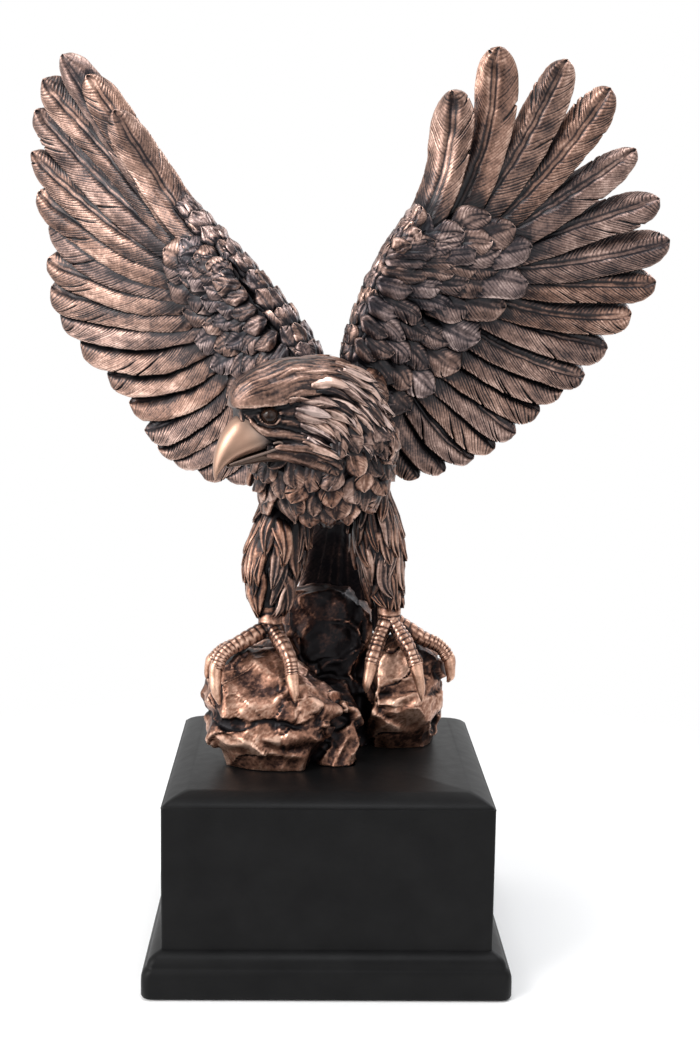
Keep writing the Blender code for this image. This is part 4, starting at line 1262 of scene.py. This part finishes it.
def piece(name, mesh, finish, node_name="eagle_on_rocks"):
    """One shown piece, riding where the CAD node that it stands for is."""
    made = placed(name, mesh)
    mesh.materials.append(finish)
    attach(made, "root")
    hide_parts(node_name)
    return made


def cast(name, carving, finish, uneven=1.0):
    """One shown piece of the casting, made a little uneven."""
    for cloud in carving.points:
        cloud += uneven * (0.32 * wobble(cloud, 8.0, SEED) + 0.09 * wobble(cloud, 2.6, SEED + 1))
    PIECES.append(piece(name, carving.mesh(name, UNIT, FLOOR), finish))


# How far a point's hollow is felt for, in figure units: close by, and round about. The rays start a
# clearance above the surface. Closed-in points are darkened in the copper: partly patina in the hollows,
# partly painted shade, most of all from the far reach under and between parts.
NEAR_REACH = 6.0
FAR_REACH = 30.0
CLEARANCE = 0.12


def open_rays():
    """Directions over a dome, the middle ones first."""
    rays = [(0.0, 0.0, 1.0)]
    for degrees, count in (((38, 3), (66, 5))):
        lean = math.radians(degrees)
        for k in range(count):
            turn = 2 * math.pi * (k + 0.5 * (degrees > 40)) / count
            rays.append((math.sin(lean) * math.cos(turn), math.sin(lean) * math.sin(turn), math.cos(lean)))
    return np.array(rays)


def edge_sharpness(mesh, points, normals):
    """How sharply each point stands out from its neighbours, below 0 where it lies in a groove."""
    first, second = fetched(mesh.edges, "vertices", 2, np.int32).T
    step = unit(points[second] - points[first])
    total = np.bincount(first, (normals[first] * step).sum(1), len(points))
    total -= np.bincount(second, (normals[second] * step).sum(1), len(points))
    number = np.bincount(first, minlength=len(points)) + np.bincount(second, minlength=len(points))
    return -total / np.maximum(number, 1)


def add_openness():
    """Gives every point how far it is open to the air, from 0 deep in a crevice to 1."""
    clouds, faces, first = [], [], 0
    for made in PIECES:
        mesh = made.data
        clouds.append(fetched(mesh.vertices, "co", 3))
        corners = fetched(mesh.loops, "vertex_index", 1, np.int32)
        starts = fetched(mesh.polygons, "loop_start", 1, np.int32)
        faces.extend(part.tolist() for part in np.split(corners + first, starts[1:]))
        first += len(mesh.vertices)
    surface = BVHTree.FromPolygons(np.concatenate(clouds).tolist(), faces)
    rays = open_rays()
    near, far = NEAR_REACH * UNIT, FAR_REACH * UNIT
    for made, points in zip(PIECES, clouds):
        mesh = made.data
        normals = fetched(mesh.vertex_normals, "vector", 3)
        side = unit(np.cross(normals, (0.31, 0.22, 0.93)))
        over = np.cross(normals, side)
        axes = (side, over, normals)
        ways = sum(rays[None, :, k, None] * axis[:, None] for k, axis in enumerate(axes)).tolist()
        starts = (points + normals * (CLEARANCE * UNIT)).tolist()
        opened = np.ones(len(points))
        for k, start in enumerate(starts):
            close, wide = 0.0, 0.0
            for way in ways[k]:
                gap = surface.ray_cast(start, way, far)[3]
                if gap is not None:
                    wide += 1 - gap / far
                    close += max(1 - gap / near, 0)
            opened[k] = (1 - close / len(rays)) * (1 - 0.7 * wide / len(rays))
        point_values(mesh, "open", opened)
        point_values(mesh, "edge", edge_sharpness(mesh, points, normals))


def build_casting():
    """The bird and the rocks under it, piece by piece, then how open to the air each point is."""
    copper = antique_copper("antique copper")
    for wing in (LEFT_WING, RIGHT_WING):
        cast(wing["name"] + "_flight_feathers", flight_feathers(wing), copper)
        cast(wing["name"] + "_coverts", covert_coat(wing), copper)

    body_points, body_quads, _ = fused(carved(body_form), BODY_VOXEL)
    thigh_points, thigh_quads, _ = fused(carved(thigh_form), BODY_VOXEL)
    points, quads, normals = fused(carved(head_form), HEAD_VOXEL, 3)
    relief = np.full(len(points), 0.5)
    sculpt_face(points, normals, relief)
    raised, relief = streaks(points, relief, 0.24)
    points = points + normals * raised[:, None]
    head_surface = tree_of(points, quads)

    head = Carving()
    head.skin(points, quads, np.clip(relief, 0, 1), 0.55)
    head_locks(head, head_surface)
    cast("head", head, copper)
    cast("beak", carved(beak_form, beak_edges), beak_finish(), 0.15)
    cast("eyes", carved(eye_form), eye_finish(), 0.0)

    plumes = coat(tree_of(body_points, body_quads), head_surface)
    plumes.skin(body_points, body_quads, 0.15, 0.4)
    cast("body", plumes, copper)
    legs = trousers(tree_of(thigh_points, thigh_quads))
    legs.skin(thigh_points, thigh_quads, 0.15, 0.5)
    cast("thighs", legs, copper)
    cast("tail", carved(tail), copper)
    cast("feet", carved(feet), antique_copper("bright copper", 0.04))
    cast("rocks", rocks(), antique_copper("rock copper", coat=0.1), 0.0)
    add_openness()


# The plinth's mouldings from its underside up, in millimetres: height, distance out from the body's
# sides and radius of the corners
PLINTH_LEVELS = [
    (0.0, 5.0, 3.0), (0.3, 5.6, 3.0), (1.1, 6.0, 3.2), (5.4, 6.0, 3.2), (7.2, 5.9, 3.2), (8.4, 5.6, 3.0),
    (9.2, 5.1, 2.8), (9.6, 4.7, 2.6), (9.9, 4.45, 2.5), (10.4, 4.3, 2.4), (11.2, 4.1, 2.4), (12.1, 3.6, 2.2),
    (13.0, 2.7, 1.8), (13.7, 1.6, 1.4), (14.2, 0.6, 1.1), (14.4, 0.0, 1.0), (60.15, 0.0, 1.0),
    (60.35, 0.1, 1.0), (60.55, 0.0, 1.0), (60.65, -0.35, 1.0), (60.95, -0.5, 1.0), (61.9, -1.7, 1.2),
    (62.8, -3.4, 1.4), (63.5, -5.2, 1.6), (63.95, -6.6, 1.8), (64.2, -7.6, 2.0),
]
PLINTH_HALF = 52.5
PLINTH_HIGH = 64.2
CORNER_STEPS = 6


def build_plinth():
    """The plinth with its rounded mouldings, as one shell of level rings."""
    low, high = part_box("plinth")
    rings = []
    for height, out, radius in PLINTH_LEVELS:
        half = PLINTH_HALF + out - radius
        ring = []
        for quarter, (x, y) in enumerate(((1, 1), (-1, 1), (-1, -1), (1, -1))):
            for k in range(CORNER_STEPS + 1):
                angle = math.pi / 2 * (quarter + k / CORNER_STEPS)
                spot = (x * half + radius * math.cos(angle), y * half + radius * math.sin(angle))
                ring.append((*spot, height))
        rings.append(ring)
    carving = Carving()
    carving.loft(np.array(rings))
    mesh = carving.mesh("plinth_mouldings", (high.z - low.z) / PLINTH_HIGH, low.z)
    mesh.set_sharp_from_angle(angle=math.radians(32))
    piece("plinth_mouldings", mesh, black_paint(), "plinth")


# The camera, as fitted to the corners of the plinth in the photograph
CAMERA_PLACE = (-0.00777, -0.5315, 0.2194)
CAMERA_YAW = math.radians(-1.55)
CAMERA_PITCH = math.radians(8.27)
CAMERA_ROLL = math.radians(0.88)
CAMERA_LENS = 54.37


def build_camera():
    data = bpy.data.cameras.new("camera")
    data.sensor_width = 36
    data.lens = CAMERA_LENS
    data.clip_start = 0.01
    data.clip_end = 20
    camera = placed("camera", data)
    turn = Matrix.Rotation(CAMERA_YAW, 4, "Z") @ Matrix.Rotation(math.pi / 2 - CAMERA_PITCH, 4, "X")
    turn = turn @ Matrix.Rotation(CAMERA_ROLL, 4, "Z")
    camera.matrix_world = Matrix.Translation(CAMERA_PLACE) @ turn
    bpy.context.scene.camera = camera


LAMP_TARGET = Vector((0, 0, 0.19))


def lamp(name, place, size, power, colour):
    """A square lamp that faces the figure."""
    data = bpy.data.lights.new(name, "AREA")
    data.shape = "SQUARE"
    data.size = size
    data.energy = power
    data.color = colour
    way = LAMP_TARGET - Vector(place)
    turn = way.to_track_quat("-Z", "Y").to_matrix().to_4x4()
    placed(name, data).matrix_world = Matrix.Translation(place) @ turn


# The floor fades out from the solid middle to its rim, and lies a hair under the plinth
FLOOR_RADIUS = 0.34
FLOOR_SOLID = 0.07
FLOOR_DROP = 0.0002
# Soft windows in front: the way to each, how narrow it is, and how bright
WINDOWS = (((-0.82, -0.50, 0.28), 9.0, 3.8), ((0.50, -0.84, 0.22), 7.0, 1.7))


def build_studio():
    """A pale floor in a soft white surround with two bright windows, and lamps before, above and behind."""
    floor_mesh = bpy.data.meshes.new("studio_floor")
    bm = bmesh.new()
    bmesh.ops.create_circle(bm, cap_ends=True, segments=96, radius=FLOOR_RADIUS)
    bm.to_mesh(floor_mesh)
    bm.free()
    floor = placed("studio_floor", floor_mesh)
    floor.location.z = -FLOOR_DROP
    finish, tree, shader = shader_of("pale floor")
    place = node(tree, "ShaderNodeTexCoord").outputs["Object"]
    away = node(tree, "ShaderNodeVectorMath", operation="LENGTH", Vector=place).outputs["Value"]
    solid = node(tree, "ShaderNodeMapRange", interpolation_type="SMOOTHSTEP", Value=away,
                 **{"From Min": FLOOR_SOLID, "From Max": FLOOR_RADIUS, "To Min": 1.0, "To Max": 0.0})
    dress(tree, shader, {
        "Base Color": (0.93, 0.93, 0.93, 1),
        "Roughness": 0.9,
        "Specular IOR Level": 0.1,
        "Alpha": solid.outputs["Result"],
    })
    floor_mesh.materials.append(finish)

    world = bpy.data.worlds.new("studio")
    bpy.context.scene.world = world
    world.use_nodes = True
    tree = world.node_tree
    back = tree.nodes["Background"]
    where = node(tree, "ShaderNodeTexCoord").outputs["Generated"]
    split = node(tree, "ShaderNodeSeparateXYZ", Vector=where)
    depth = weighted(tree, 0.5, (split.outputs["Y"], 0.5))
    shade = ramp(tree, depth, [(0.12, (0.10, 0.10, 0.11)), (0.66, (1.0, 1.0, 1.0))])
    for way, narrow, bright in WINDOWS:
        toward = node(tree, "ShaderNodeVectorMath", operation="DOT_PRODUCT", Vector=where)
        toward.inputs[1].default_value = unit(way)
        glow = maths(tree, "POWER", maths(tree, "MAXIMUM", toward.outputs["Value"], 0.0), narrow)
        shade = weighted(tree, shade, (glow, bright))
    tree.links.new(shade, back.inputs[1])
    back.inputs[0].default_value = (1, 1, 1, 1)
    lamp("key", (-0.75, -0.7, 0.8), 0.5, 6, (1, 0.98, 0.96))
    lamp("top", (0.0, -0.2, 1.15), 0.5, 4, (0.95, 0.97, 1))
    lamp("rim", (0.65, 0.65, 0.75), 0.4, 2.5, (0.93, 0.95, 1))
    bpy.context.scene.view_settings.view_transform = "Standard"


build_camera()
build_casting()
build_plinth()
build_studio()
